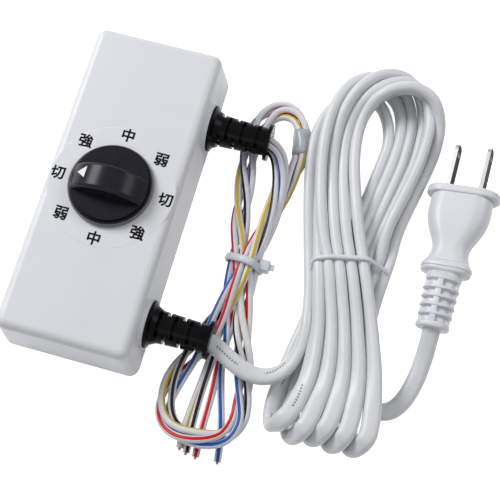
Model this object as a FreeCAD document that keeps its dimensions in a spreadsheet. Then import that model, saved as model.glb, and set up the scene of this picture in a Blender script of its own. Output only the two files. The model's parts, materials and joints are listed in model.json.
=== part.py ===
import FreeCAD, Part
import math
import os
import Sketcher

V = FreeCAD.Vector
os.makedirs("parts", exist_ok=True)
doc = FreeCAD.newDocument("fan_speed_switch")

# Row frame, mm: origin under the middle of the housing, +Z out of the dial face,
# +Y along the housing, +X towards the two cable glands.
VALUES = {
    # housing
    "cover_width": 53.72, "cover_length": 128.0, "front_height": 25.0,
    "plate_height": 2.4, "wall_thick": 2.2, "wall_draft": 3.6,
    "corner_round": 3.8, "front_round": 3.4, "inner_round": 2.0, "inner_top_round": 1.4,
    "seam_inset": 0.5, "plate_chamfer": 0.5,
    "pad_inset": 1.96, "pad_rise": 0.04, "pad_low": 15.0, "pad_flare": 0.9, "pad_round": 0.9,
    "dial_y": -0.73,
    "post_inset_x": 7.26, "post_inset_y": 8.0, "post_radius": 3.3, "post_overlap": 0.6,
    "cover_screw_radius": 1.3, "cover_screw_top": 13.0, "cover_screw_head": 2.75,
    "cover_screw_clearance": 0.3, "cover_screw_sink": 0.1, "pilot_spare": 1.0,
    "keyhole_inset": 22.0, "keyhole_head": 3.9, "keyhole_slot": 2.1, "keyhole_travel": 7.0,
    # cable glands and what they hold
    "gland_height": 11.5, "fan_gland_inset": 26.7, "mains_gland_inset": 19.2,
    "collar_proud": 0.44, "collar_inset": 3.46, "collar_radius": 9.5,
    "gland_neck": 5.6, "gland_inner_flange": 7.2, "gland_inner_flange_thick": 1.6,
    "gland_flange": 9.2, "gland_flange_thick": 1.5, "gland_flare_end": 4.4,
    "gland_flare_radius": 7.6, "gland_body": 6.3, "gland_body_end": 5.5,
    "gland_reach": 24.1, "gland_end_flange": 7.3, "gland_end_thick": 1.5,
    "gland_slot": 1.3, "gland_slot_floor": 4.3, "gland_slot_pitch": 2.96, "gland_slot_first": 4.2,
    "gland_slot_sweep": 104.0,
    "flex_width": 6.8, "flex_thick": 4.4, "bundle_radius": 3.0,
    "jacket_join_out": 15.14, "jacket_inset": 13.86, "clamp_inset": 9.46, "clamp_block": 6.0,
    "clamp_block_length": 15.2, "clamp_bar": 7.0, "clamp_bar_thick": 2.8,
    "clamp_screw_pitch": 5.6, "clamp_screw_radius": 1.1, "clamp_screw_depth": 5.5,
    "clamp_screw_head": 1.9, "clamp_screw_head_thick": 1.3, "clamp_screw_clearance": 0.2,
    # rotary switch
    "shaft_radius": 3.0, "shaft_clearance": 0.05, "shaft_low": 12.6, "shaft_high": 31.6,
    "shaft_flat": 2.2, "shaft_flat_low": 27.2, "front_hole": 4.0,
    "switch_plate_width": 36.0, "switch_plate_length": 30.0, "switch_plate_thick": 1.0,
    "switch_screw_x": 12.5, "switch_screw_radius": 1.5, "switch_screw_head": 2.9,
    "switch_screw_play": 0.1, "switch_screw_tip": 0.7, "switch_screw_pocket": 1.9,
    "case_side": 30.0, "case_height": 10.0, "case_bore": 10.0, "case_ceiling": 1.6,
    "case_shaft_hole": 3.6, "base_thick": 1.6,
    "rotor_radius": 9.4, "rotor_low": 13.4, "rotor_high": 19.4, "rotor_hub": 5.0,
    "rotor_hub_high": 20.0, "notch_radius": 1.3, "notch_centre": 9.7, "notch_count": 8,
    "contact_outer": 7.5, "contact_inner": 3.6, "contact_thick": 0.8,
    "terminal_spot": 5.6, "terminal_width": 4.8, "terminal_thick": 0.8, "terminal_low": 4.2,
    "terminal_head": 2.0, "terminal_head_thick": 0.5,
    "spring_seat": 11.6, "spring_thick": 0.4, "spring_length": 16.0, "spring_height": 4.0,
    "spring_nose": 1.2, "spring_nose_gap": 0.15, "spring_end_gap": 0.3, "spring_middle": 16.4,
    # knob
    "knob_gap": 0.45, "skirt_radius": 16.3, "skirt_height": 1.9, "skirt_round": 1.2,
    "skirt_wall": 2.2, "skirt_hollow": 1.1, "disc_radius": 14.6, "disc_height": 3.5,
    "hub_radius": 5.4,
    "grip_width": 10.4, "grip_height": 8.0, "grip_half": 14.4, "grip_reach": 15.0,
    "grip_round": 1.5,
    "pointer_tip": 12.0, "pointer_length": 3.6, "pointer_width": 4.6, "pointer_depth": 0.5,
    "pointer_proud": 0.15,
    "clip_width": 1.9, "clip_thick": 0.5, "clip_height": 3.6, "clip_low": 27.6,
    # plug
    "plug_x": 128.9, "plug_face_y": 38.2, "plug_height": 9.3, "plug_lean": 17.0,
    "face_width": 28.4, "face_thick": 13.6, "face_depth": 3.2, "face_round": 0.8,
    "blade_spacing": 12.7, "blade_thick": 1.5, "blade_width": 6.35, "blade_reach": 18.8,
    "blade_root": 8.0, "blade_hole": 1.55, "blade_hole_from_tip": 3.9, "blade_tip_round": 2.4,
    "collar_front": 32.1, "collar_back": 34.2, "relief_end": 56.4, "relief_bore_depth": 12.0,
    "ring_first": 37.2, "ring_pitch": 3.5, "ring_length": 1.5, "ring_width": 13.8,
    "ring_thick": 10.2, "ring_taper": 0.3, "web_width": 2.4, "web_step": 0.9,
    # small leads
    "core_radius": 1.0, "core_start": 0.2, "core_spread": 1.1,
    "wire_radius": 1.4, "copper_radius": 0.6, "copper_bare": 3.0,
    "splice_radius": 2.4, "splice_length": 12.0,
    # hanks and ties
    "hank_low": 0.3, "hank_high": 13.7, "hank_round": 2.0,
    "hank_tie_y": -7.8, "hank_tie_width": 1.6, "hank_tie_thick": 0.8,
    "bundle_width": 6.2, "bundle_low": 0.3, "bundle_high": 7.4, "bundle_under_gland": 4.2,
    "fan_tie_y": -7.9, "fan_tie_width": 3.0, "fan_tie_thick": 0.9,
    "tie_head_width": 4.6, "tie_head_length": 4.2, "tie_head_height": 5.2,
    "tie_head_round": 0.5,
    "sleeve_wall": 0.5, "sleeve_from": 4.0, "sleeve_length": 9.6,
}


class Size:
    """A length together with the expression that gives it."""

    def __init__(self, value, text=None):
        self.value = float(value)
        self.text = text if text else repr(float(value))

    def __add__(self, other):
        other = as_size(other)
        return Size(self.value + other.value, "(%s + %s)" % (self.text, other.text))

    def __sub__(self, other):
        other = as_size(other)
        return Size(self.value - other.value, "(%s - %s)" % (self.text, other.text))

    def __mul__(self, other):
        other = as_size(other)
        return Size(self.value * other.value, "(%s * %s)" % (self.text, other.text))

    def __truediv__(self, other):
        other = as_size(other)
        return Size(self.value / other.value, "(%s / %s)" % (self.text, other.text))

    def __neg__(self):
        return Size(-self.value, "(-1 * %s)" % self.text)

    __radd__ = __add__
    __rmul__ = __mul__


def as_size(value):
    return value if isinstance(value, Size) else Size(value)


sheet = doc.addObject("Spreadsheet::Sheet", "Sizes")
D = {}
for row, (alias, number) in enumerate(VALUES.items(), start=1):
    sheet.set("A%d" % row, alias)
    sheet.set("B%d" % row, str(number))
    sheet.setAlias("B%d" % row, alias)
    D[alias] = Size(number, "Sizes." + alias)
doc.recompute()

# Places that follow the housing's size: each is an inset from its edge.
half_width, half_length = D["cover_width"] / 2, D["cover_length"] / 2
D["pad_radius"] = half_width - D["pad_inset"]
D["post_x"] = half_width - D["post_inset_x"]
D["post_y"] = half_length - D["post_inset_y"]
D["keyhole_y"] = half_length - D["keyhole_inset"]
D["fan_gland_y"] = half_length - D["fan_gland_inset"]
D["mains_gland_y"] = D["mains_gland_inset"] - half_length
D["collar_face"] = half_width + D["collar_proud"]
D["collar_inner"] = half_width - D["collar_inset"]
D["clamp_x"] = half_width - D["clamp_inset"]
D["jacket_end"] = half_width - D["jacket_inset"]
D["jacket_join"] = half_width + D["jacket_join_out"]

PLANE_OF = {"XY": "XY_Plane", "XZ": "XZ_Plane", "YZ": "YZ_Plane"}
NODES = {}


def bind(thing, prop, size):
    """Set a property and tie it to its expression."""
    size = as_size(size)
    thing.setExpression(prop, size.text)


def new_body(name, at=(0, 0, 0), rotation=None):
    body = doc.addObject("PartDesign::Body", name)
    body.Label = name
    if rotation:
        body.Placement.Rotation = rotation
    for axis, size in zip("xyz", at):
        bind(body, "Placement.Base." + axis, size)
    return body


class Profile:
    """A sketch whose points are all held by expressions."""

    def __init__(self, body, name, plane="XY", offset=0):
        self.sketch = body.newObject("Sketcher::SketchObject", name)
        for feature in body.Origin.OriginFeatures:
            if feature.Role == PLANE_OF[plane]:
                self.sketch.AttachmentSupport = [(feature, "")]
        self.sketch.MapMode = "FlatFace"
        bind(self.sketch, "AttachmentOffset.Base.z", offset)

    def hold(self, geometry, point, x, y):
        for kind, size in (("DistanceX", as_size(x)), ("DistanceY", as_size(y))):
            number = self.sketch.addConstraint(
                Sketcher.Constraint(kind, -1, 1, geometry, point, size.value))
            self.sketch.setExpression("Constraints[%d]" % number, size.text)

    def circle(self, x, y, radius):
        x, y, radius = as_size(x), as_size(y), as_size(radius)
        shape = Part.Circle(V(x.value, y.value, 0), V(0, 0, 1), radius.value)
        number = self.sketch.addGeometry(shape, False)
        self.hold(number, 3, x, y)
        held = self.sketch.addConstraint(Sketcher.Constraint("Radius", number, radius.value))
        self.sketch.setExpression("Constraints[%d]" % held, radius.text)
        return self

    def polygon(self, points):
        points = [(as_size(x), as_size(y)) for x, y in points]
        count = len(points)
        first = self.sketch.GeometryCount
        for k in range(count):
            start, end = points[k], points[(k + 1) % count]
            self.sketch.addGeometry(Part.LineSegment(
                V(start[0].value, start[1].value, 0), V(end[0].value, end[1].value, 0)), False)
        for k in range(count):
            self.sketch.addConstraint(Sketcher.Constraint(
                "Coincident", first + k, 2, first + (k + 1) % count, 1))
        for k in range(count):
            self.hold(first + k, 1, points[k][0], points[k][1])
        return self

    def rectangle(self, x, y, width, height):
        x, y = as_size(x), as_size(y)
        half_w, half_h = as_size(width) / 2, as_size(height) / 2
        return self.polygon([(x - half_w, y - half_h), (x + half_w, y - half_h),
                             (x + half_w, y + half_h), (x - half_w, y + half_h)])

    def stadium(self, length, thick, along_x=True, centre=0):
        """A slot shape of the given length, with round ends as wide as its thickness."""
        radius = as_size(thick) / 2
        reach = as_size(length) / 2 - radius
        turn = 0 if along_x else math.pi / 2
        first = self.sketch.GeometryCount
        centre = as_size(centre)
        ends = []
        for sign in (1, -1):
            if along_x:
                ends.append((centre + reach * sign, as_size(0)))
            else:
                ends.append((as_size(0), centre + reach * sign))
        for k, (x, y) in enumerate(ends):
            circle = Part.Circle(V(x.value, y.value, 0), V(0, 0, 1), radius.value)
            start = turn + k * math.pi - math.pi / 2
            self.sketch.addGeometry(Part.ArcOfCircle(circle, start, start + math.pi), False)
        for k in range(2):
            start = self.sketch.getPoint(first + k, 2)
            end = self.sketch.getPoint(first + 1 - k, 1)
            self.sketch.addGeometry(Part.LineSegment(start, end), False)
        for k in range(2):
            self.sketch.addConstraint(Sketcher.Constraint("Tangent", first + k, 2, first + 2 + k, 1))
            self.sketch.addConstraint(
                Sketcher.Constraint("Tangent", first + 2 + k, 2, first + 1 - k, 1))
        for k, (x, y) in enumerate(ends):
            self.hold(first + k, 3, x, y)
        held = self.sketch.addConstraint(Sketcher.Constraint("Radius", first, radius.value))
        self.sketch.setExpression("Constraints[%d]" % held, radius.text)
        return self

    def arch(self, half, crown, radius, low):
        """An arc with its crown on the axis, closed below by upright sides and a foot."""
        half, crown, radius, low = (as_size(s) for s in (half, crown, radius, low))
        centre = crown - radius
        spring = math.sqrt(radius.value ** 2 - half.value ** 2)
        angle = math.atan2(spring, half.value)
        circle = Part.Circle(V(0, centre.value, 0), V(0, 0, 1), radius.value)
        arc = self.sketch.addGeometry(Part.ArcOfCircle(circle, angle, math.pi - angle), False)
        top = centre.value + spring
        corners = [V(-half.value, top, 0), V(-half.value, low.value, 0),
                   V(half.value, low.value, 0), V(half.value, top, 0)]
        for start, end in zip(corners, corners[1:]):
            self.sketch.addGeometry(Part.LineSegment(start, end), False)
        for k in range(4):
            self.sketch.addConstraint(
                Sketcher.Constraint("Coincident", arc + k, 2, arc + (k + 1) % 4, 1))
        self.hold(arc, 3, 0, centre)
        self.hold(arc + 1, 2, -half, low)
        self.hold(arc + 3, 1, half, low)
        self.sketch.addConstraint(Sketcher.Constraint("Vertical", arc + 1))
        self.sketch.addConstraint(Sketcher.Constraint("Vertical", arc + 3))
        held = self.sketch.addConstraint(Sketcher.Constraint("Radius", arc, radius.value))
        self.sketch.setExpression("Constraints[%d]" % held, radius.text)
        return self


def step(body, kind, name, profile, **options):
    """Add one feature; numbers and sizes become expressions."""
    feature = body.newObject("PartDesign::" + kind, name)
    if profile is not None:
        feature.Profile = profile.sketch
    for prop, value in options.items():
        if isinstance(value, Size):
            bind(feature, prop, value)
        else:
            setattr(feature, prop, value)
    body.Tip = feature
    doc.recompute()
    return feature


def revolve(body, name, points, kind="Revolution"):
    """Turn a closed outline of (radius, height) points about the body's Z axis."""
    profile = Profile(body, name + "_outline", "XZ").polygon(points)
    return step(body, kind, name, profile, ReferenceAxis=(profile.sketch, ["V_Axis"]), Angle=360.0)


def edges(feature, test):
    """Names of a feature's edges that pass a test."""
    return ["Edge%d" % (k + 1) for k, edge in enumerate(feature.Shape.Edges) if test(edge)]


def dress(body, kind, name, base, test, size):
    """Fillet or chamfer the edges of a feature that pass a test."""
    feature = body.newObject("PartDesign::" + kind, name)
    feature.Base = (base, edges(base, test))
    bind(feature, "Radius" if kind == "Fillet" else "Size", size)
    body.Tip = feature
    doc.recompute()
    return feature


def near(value, goal, slack=0.02):
    return abs(value - as_size(goal).value) < slack


def flat_at(goal):
    """Test for an edge that lies in the plane at a height."""
    return lambda e: near(e.BoundBox.ZMin, goal) and near(e.BoundBox.ZMax, goal)


def keep(name, thing):
    thing.Label = name
    NODES[name] = thing
    return thing


def copies(name, body, places):
    """A group of separate solids: the same body at each place."""
    links = []
    for k, place in enumerate(places):
        link = doc.addObject("App::Link", "%s_at_%d" % (name, k + 1))
        link.LinkedObject = body
        link.LinkTransform = True
        for axis, size in zip("xyz", place):
            bind(link, "Placement.Base." + axis, size)
        links.append(link)
    group = doc.addObject("Part::Compound", name + "_group")
    group.Links = links
    return keep(name, group)


# Housing: a drafted cover over a flat back plate.
front = D["front_height"]
plate_top = D["plate_height"]
inner_top = front - D["wall_thick"]
pad_top = front + D["pad_rise"]
dial_y = D["dial_y"]
inner_width = D["cover_width"] - D["wall_thick"] * 2
inner_length = D["cover_length"] - D["wall_thick"] * 2
post_places = [(D["post_x"] * sx, D["post_y"] * sy) for sx in (-1, 1) for sy in (-1, 1)]

cover = new_body("front_cover")
outline = Profile(cover, "cover_outline", "XY", plate_top)
outline.rectangle(0, 0, D["cover_width"], D["cover_length"])
block = step(cover, "Pad", "cover_block", outline, Length=front - plate_top,
             TaperAngle=-D["wall_draft"])
rounded = dress(cover, "Fillet", "cover_corners", block,
                lambda e: e.BoundBox.ZLength > D["wall_thick"].value, D["corner_round"])
rounded = dress(cover, "Fillet", "cover_front_edge", rounded, flat_at(front), D["front_round"])
# The round pad under the dial is finished on its own, then joined to the cover.
pad = new_body("dial_pad", (0, dial_y, 0))
raised = revolve(pad, "pad_round", [
    (0, D["pad_low"]), (D["pad_radius"] + D["pad_flare"], D["pad_low"]),
    (D["pad_radius"], pad_top), (0, pad_top)])
dress(pad, "Fillet", "pad_edge", raised, flat_at(pad_top), D["pad_round"])
join = cover.newObject("PartDesign::Boolean", "pad_join")
join.setObjects([pad])
join.Type = "Fuse"
cover.Tip = join
doc.recompute()
hollow = Profile(cover, "hollow_outline", "XY", plate_top)
hollow.rectangle(0, 0, inner_width, inner_length)
inside = step(cover, "Pocket", "cover_hollow", hollow, Length=inner_top - plate_top,
              TaperAngle=-D["wall_draft"], Reversed=True)


def inner_upright(e):
    """Test for the four leaning edges of the hollow's corners."""
    box = e.BoundBox
    lean = D["wall_thick"].value
    inner = abs(box.Center.x) < inner_width.value / 2 and abs(box.Center.y) < inner_length.value / 2
    tall = box.ZLength > (inner_top - plate_top).value / 2
    return tall and inner and box.XLength < lean and box.YLength < lean


inside = dress(cover, "Fillet", "hollow_corners", inside, inner_upright, D["inner_round"])
dress(cover, "Fillet", "hollow_top_edge", inside, flat_at(inner_top), D["inner_top_round"])
posts = Profile(cover, "post_outlines", "XY", plate_top)
for x, y in post_places:
    posts.circle(x, y, D["post_radius"])
step(cover, "Pad", "posts", posts, Length=inner_top - plate_top + D["post_overlap"])
holds = [("fan", D["fan_gland_y"], D["bundle_radius"]),
         ("mains", D["mains_gland_y"], D["flex_thick"] / 2)]
for cable, y, half in holds:
    low = D["gland_height"] + half
    clamp = Profile(cover, cable + "_clamp_block_outline", "XY", low)
    clamp.rectangle(D["clamp_x"], y, D["clamp_block"], D["clamp_block_length"])
    step(cover, "Pad", cable + "_clamp_block", clamp, Length=inner_top - low + D["post_overlap"])
collars = Profile(cover, "collar_outlines", "YZ", D["collar_inner"])
for cable, y, half in holds:
    collars.circle(y, D["gland_height"], D["collar_radius"])
step(cover, "Pad", "collars", collars, Length=D["collar_face"] - D["collar_inner"])
trim = Profile(cover, "rim_trim_outline", "XY", plate_top)
trim.rectangle(0, 0, D["cover_width"] * 2, D["cover_length"] * 2)
step(cover, "Pocket", "rim_trim", trim, Length=D["corner_round"])
necks = Profile(cover, "gland_hole_outlines", "YZ", D["collar_face"] + D["wall_thick"])
for cable, y, half in holds:
    necks.circle(y, D["gland_height"], D["gland_neck"])
step(cover, "Pocket", "gland_holes", necks, Length=D["wall_thick"] * 4)
pilots = Profile(cover, "pilot_outlines", "XY", plate_top)
for x, y in post_places:
    pilots.circle(x, y, D["cover_screw_radius"])
step(cover, "Pocket", "pilot_holes", pilots, Reversed=True,
     Length=D["cover_screw_top"] - plate_top + D["pilot_spare"])
for cable, y, half in holds:
    low = D["gland_height"] + half
    pilots = Profile(cover, cable + "_clamp_pilot_outlines", "XY", low)
    for side in (-1, 1):
        pilots.circle(D["clamp_x"], y + D["clamp_screw_pitch"] * side, D["clamp_screw_radius"])
    step(cover, "Pocket", cable + "_clamp_pilots", pilots, Reversed=True,
         Length=D["clamp_screw_depth"] + D["pilot_spare"])
spindle = Profile(cover, "shaft_hole_outline", "XY", pad_top).circle(0, dial_y, D["front_hole"])
step(cover, "Pocket", "shaft_hole", spindle, Length=D["wall_thick"] * 3)
sunk = Profile(cover, "switch_screw_outlines", "XY", pad_top)
for side in (-1, 1):
    sunk.circle(D["switch_screw_x"] * side, dial_y, D["switch_screw_radius"])
step(cover, "Hole", "switch_screw_holes", sunk, Threaded=False,
     Diameter=(D["switch_screw_radius"] + D["switch_screw_play"]) * 2,
     DepthType="Dimension", Depth=D["wall_thick"] * 2, DrillPoint="Flat",
     HoleCutType="Countersink", HoleCutCustomValues=True,
     HoleCutDiameter=D["switch_screw_head"] * 2, HoleCutCountersinkAngle=90.0)
keep("front_cover", cover)

plate = new_body("back_plate")
outline = Profile(plate, "plate_outline")
outline.rectangle(0, 0, D["cover_width"], D["cover_length"])
slab = step(plate, "Pad", "plate_slab", outline, Length=plate_top)
slab = dress(plate, "Fillet", "plate_corners", slab,
             lambda e: e.BoundBox.ZLength > 1, D["corner_round"])
slab = dress(plate, "Chamfer", "plate_edge", slab, flat_at(0), D["plate_chamfer"])
dress(plate, "Chamfer", "seam", slab, flat_at(plate_top), D["seam_inset"])
sunk = Profile(plate, "cover_screw_outlines")
for x, y in post_places:
    sunk.circle(x, y, D["cover_screw_radius"])
step(plate, "Hole", "cover_screw_holes", sunk, Threaded=False, Reversed=True,
     Diameter=(D["cover_screw_radius"] + D["cover_screw_clearance"]) * 2,
     DepthType="ThroughAll", HoleCutType="Countersink", HoleCutCustomValues=True,
     HoleCutDiameter=D["cover_screw_head"] * 2, HoleCutCountersinkAngle=90.0)
for number, side in enumerate((-1, 1)):
    place = D["keyhole_y"] * side
    mouth = Profile(plate, "keyhole_mouth_outline_%d" % number)
    mouth.circle(0, place, D["keyhole_head"])
    step(plate, "Pocket", "keyhole_mouth_%d" % number, mouth, Type="ThroughAll", Reversed=True)
    slot = Profile(plate, "keyhole_slot_outline_%d" % number)
    slot.stadium(D["keyhole_travel"] + D["keyhole_slot"] * 2, D["keyhole_slot"] * 2, False,
                 place + D["keyhole_travel"] / 2)
    step(plate, "Pocket", "keyhole_slot_%d" % number, slot, Type="ThroughAll", Reversed=True)
keep("back_plate", plate)

screw = new_body("cover_screw")
sink = D["cover_screw_sink"]
revolve(screw, "cover_screw_solid", [
    (0, sink), (D["cover_screw_head"] - sink, sink),
    (D["cover_screw_radius"], sink + D["cover_screw_head"] - sink - D["cover_screw_radius"]),
    (D["cover_screw_radius"], D["cover_screw_top"]), (0, D["cover_screw_top"])])
copies("cover_screws", screw, [(x, y, 0) for x, y in post_places])

# Rotary switch: it hangs from a sheet bracket under the front face.
plate_low = inner_top - D["switch_plate_thick"]
case_low = plate_low - D["case_height"]
base_low = case_low - D["base_thick"]
on_dial = (0, dial_y, 0)
screw_x = D["switch_screw_x"]

bracket = new_body("switch_plate", on_dial)
outline = Profile(bracket, "bracket_outline", "XY", plate_low)
outline.rectangle(0, 0, D["switch_plate_width"], D["switch_plate_length"])
outline.circle(0, 0, D["shaft_radius"] + D["shaft_clearance"])
for side in (-1, 1):
    outline.circle(screw_x * side, 0, D["switch_screw_radius"])
step(bracket, "Pad", "bracket_sheet", outline, Length=D["switch_plate_thick"])
keep("switch_plate", bracket)

screw = new_body("switch_screw")
tip = plate_low - D["switch_screw_tip"]
top = pad_top - D["switch_screw_play"]
head = D["switch_screw_head"] - D["switch_screw_play"]
revolve(screw, "switch_screw_solid", [
    (0, tip), (D["switch_screw_radius"], tip),
    (D["switch_screw_radius"], top - head + D["switch_screw_radius"]), (head, top), (0, top)])
copies("switch_screws", screw, [(screw_x * side, dial_y, 0) for side in (-1, 1)])

case = new_body("switch_case", on_dial)
outline = Profile(case, "case_outline", "XY", case_low)
outline.rectangle(0, 0, D["case_side"], D["case_side"])
step(case, "Pad", "case_block", outline, Length=D["case_height"])
bore = Profile(case, "case_bore_outline", "XY", case_low).circle(0, 0, D["case_bore"])
step(case, "Pocket", "case_bore_cut", bore, Reversed=True,
     Length=D["case_height"] - D["case_ceiling"])
hole = Profile(case, "case_shaft_outline", "XY", plate_low).circle(0, 0, D["case_shaft_hole"])
step(case, "Pocket", "case_shaft_cut", hole, Length=D["case_ceiling"] * 2)
tips = Profile(case, "screw_tip_outlines", "XY", plate_low)
for side in (-1, 1):
    tips.circle(screw_x * side, 0, D["switch_screw_pocket"])
step(case, "Pocket", "screw_tip_pockets", tips, Length=D["switch_screw_tip"] * 1.6)
seat = D["spring_seat"]
slot = Profile(case, "spring_slot_outline", "XY", case_low)
slot.polygon([(-(D["spring_length"] / 2 + D["spring_end_gap"]), seat * 0.8),
              (D["spring_length"] / 2 + D["spring_end_gap"], seat * 0.8),
              (D["spring_length"] / 2 + D["spring_end_gap"], seat),
              (-(D["spring_length"] / 2 + D["spring_end_gap"]), seat)])
step(case, "Pocket", "spring_slot", slot, Reversed=True,
     Length=D["spring_middle"] + D["spring_height"] / 2 - case_low + D["spring_end_gap"])
keep("switch_case", case)

terminal_places = [(D["terminal_spot"] * sx, D["terminal_spot"] * sy)
                   for sx, sy in ((0, 1), (1, 0), (-1, 0), (0, -1))]
base = new_body("switch_base", on_dial)
outline = Profile(base, "base_outline", "XY", base_low)
outline.rectangle(0, 0, D["case_side"], D["case_side"])
for x, y in terminal_places:
    outline.rectangle(x, y, D["terminal_width"], D["terminal_thick"])
step(base, "Pad", "base_sheet", outline, Length=D["base_thick"])
keep("switch_base", base)

terminal = new_body("terminal")
tab = Profile(terminal, "tab_outline", "XY", D["terminal_low"])
tab.rectangle(0, 0, D["terminal_width"], D["terminal_thick"])
step(terminal, "Pad", "tab", tab, Length=case_low - D["terminal_low"])
head = Profile(terminal, "contact_head_outline", "XY", case_low)
head.circle(0, 0, D["terminal_head"])
step(terminal, "Pad", "contact_head", head, Length=D["terminal_head_thick"])
copies("terminals", terminal, [(x, y + dial_y, 0) for x, y in terminal_places])

spring = new_body("detent_spring", on_dial)
inner = seat - D["spring_thick"]
strip = Profile(spring, "strip_outline", "XY", D["spring_middle"] - D["spring_height"] / 2)
nose_tip = D["rotor_radius"] + D["spring_nose_gap"]
strip.polygon([(-D["spring_length"] / 2, seat), (-D["spring_length"] / 2, inner),
               (-D["spring_nose"], inner), (-D["spring_nose"] / 2, nose_tip),
               (D["spring_nose"] / 2, nose_tip), (D["spring_nose"], inner),
               (D["spring_length"] / 2, inner), (D["spring_length"] / 2, seat)])
step(spring, "Pad", "strip", strip, Length=D["spring_height"])
keep("detent_spring", spring)

rotor = new_body("switch_rotor", on_dial)
disc = Profile(rotor, "rotor_outline", "XY", D["rotor_low"]).circle(0, 0, D["rotor_radius"])
step(rotor, "Pad", "rotor_wheel", disc, Length=D["rotor_high"] - D["rotor_low"])
hub = Profile(rotor, "rotor_hub_outline", "XY", D["rotor_high"]).circle(0, 0, D["rotor_hub"])
step(rotor, "Pad", "rotor_neck", hub, Length=D["rotor_hub_high"] - D["rotor_high"])
bore = Profile(rotor, "rotor_bore_outline", "XY", D["rotor_low"]).circle(0, 0, D["shaft_radius"])
step(rotor, "Pocket", "rotor_bore", bore, Type="ThroughAll", Reversed=True)
notch = Profile(rotor, "notch_outline", "XY", D["rotor_low"])
notch.circle(0, D["notch_centre"], D["notch_radius"])
notch = step(rotor, "Pocket", "notch", notch, Type="ThroughAll", Reversed=True)
ring = rotor.newObject("PartDesign::PolarPattern", "notches")
ring.Originals = [notch]
for feature in rotor.Origin.OriginFeatures:
    if feature.Role == "Z_Axis":
        ring.Axis = (feature, [""])
ring.Angle = 360.0
bind(ring, "Occurrences", D["notch_count"])
rotor.Tip = ring
doc.recompute()
keep("switch_rotor", rotor)

contact = new_body("moving_contact", on_dial)
sheet_ring = Profile(contact, "contact_outline", "XY", D["rotor_low"] - D["contact_thick"])
sheet_ring.circle(0, 0, D["contact_outer"]).circle(0, 0, D["contact_inner"])
step(contact, "Pad", "contact_ring", sheet_ring, Length=D["contact_thick"])
keep("moving_contact", contact)

shaft = new_body("dial_shaft", on_dial)
rod = Profile(shaft, "rod_outline", "XY", D["shaft_low"]).circle(0, 0, D["shaft_radius"])
step(shaft, "Pad", "rod", rod, Length=D["shaft_high"] - D["shaft_low"])
flat = Profile(shaft, "flat_outline", "XY", D["shaft_flat_low"])
flat.rectangle(0, D["shaft_flat"] + D["shaft_radius"], D["shaft_radius"] * 2, D["shaft_radius"] * 2)
step(shaft, "Pocket", "flat", flat, Reversed=True, Length=D["shaft_high"] - D["shaft_flat_low"] + 1)
keep("dial_shaft", shaft)

clip = new_body("knob_clip", on_dial)
leaf = Profile(clip, "leaf_outline", "XY", D["clip_low"])
leaf.rectangle(0, D["shaft_flat"] + D["clip_thick"] / 2, D["clip_width"], D["clip_thick"])
step(clip, "Pad", "leaf", leaf, Length=D["clip_height"])
keep("knob_clip", clip)

# Knob: a skirted disc with an arched grip bar and a pointer set into it.
skirt_low = pad_top + D["knob_gap"]
skirt_top = skirt_low + D["skirt_height"]
disc_top = skirt_low + D["disc_height"]
ceiling = skirt_low + D["skirt_hollow"]
knob = new_body("knob", on_dial)
turned = revolve(knob, "knob_round", [
    (0, skirt_low), (D["hub_radius"], skirt_low),
    (D["hub_radius"], ceiling), (D["skirt_radius"] - D["skirt_wall"], ceiling),
    (D["skirt_radius"] - D["skirt_wall"], skirt_low), (D["skirt_radius"], skirt_low),
    (D["skirt_radius"], skirt_top), (D["disc_radius"], skirt_top),
    (D["disc_radius"], disc_top), (0, disc_top)])
turned = dress(knob, "Fillet", "skirt_edge", turned,
               lambda e: flat_at(skirt_top)(e) and near(e.BoundBox.XLength, D["skirt_radius"] * 2, 0.1),
               D["skirt_round"])
keep("knob", knob)

# The grip is an arch across the disc; it is rounded and trimmed before it joins the knob.
grip = new_body("grip_bar", on_dial)
arch_radius = (D["grip_half"] * D["grip_half"] + D["grip_height"] * D["grip_height"]) \
    / (D["grip_height"] * 2)
bar = Profile(grip, "grip_outline", "XZ")
bar.arch(D["grip_reach"], disc_top + D["grip_height"], arch_radius, skirt_top)
bar = step(grip, "Pad", "grip_arch", bar, Length=D["grip_width"], Midplane=True)
dress(grip, "Fillet", "grip_edges", bar,
      lambda e: e.BoundBox.XLength > D["grip_reach"].value and e.BoundBox.ZMax > disc_top.value + 1,
      D["grip_round"])
around = Profile(grip, "grip_trim_outline", "XY", skirt_top)
around.circle(0, 0, D["disc_radius"]).circle(0, 0, D["disc_radius"] * 2)
step(grip, "Pocket", "grip_trim", around, Type="ThroughAll", Reversed=True)
join = knob.newObject("PartDesign::Boolean", "grip_join")
join.setObjects([grip])
join.Type = "Fuse"
knob.Tip = join
doc.recompute()
pointer_low = disc_top + D["pointer_depth"]
arrow_back = D["pointer_length"] - D["pointer_tip"]
arrow_points = [(-D["pointer_tip"], 0), (arrow_back, -D["pointer_width"] / 2),
                (arrow_back, D["pointer_width"] / 2)]
arrow = Profile(knob, "pointer_recess_outline", "XY", pointer_low).polygon(arrow_points)
step(knob, "Pocket", "pointer_recess", arrow, Reversed=True, Length=D["grip_height"] * 2)
bore = Profile(knob, "knob_bore_outline", "XY", skirt_low).circle(0, 0, D["shaft_radius"])
step(knob, "Pocket", "knob_bore", bore, Reversed=True, Length=D["shaft_high"] - skirt_low)

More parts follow.
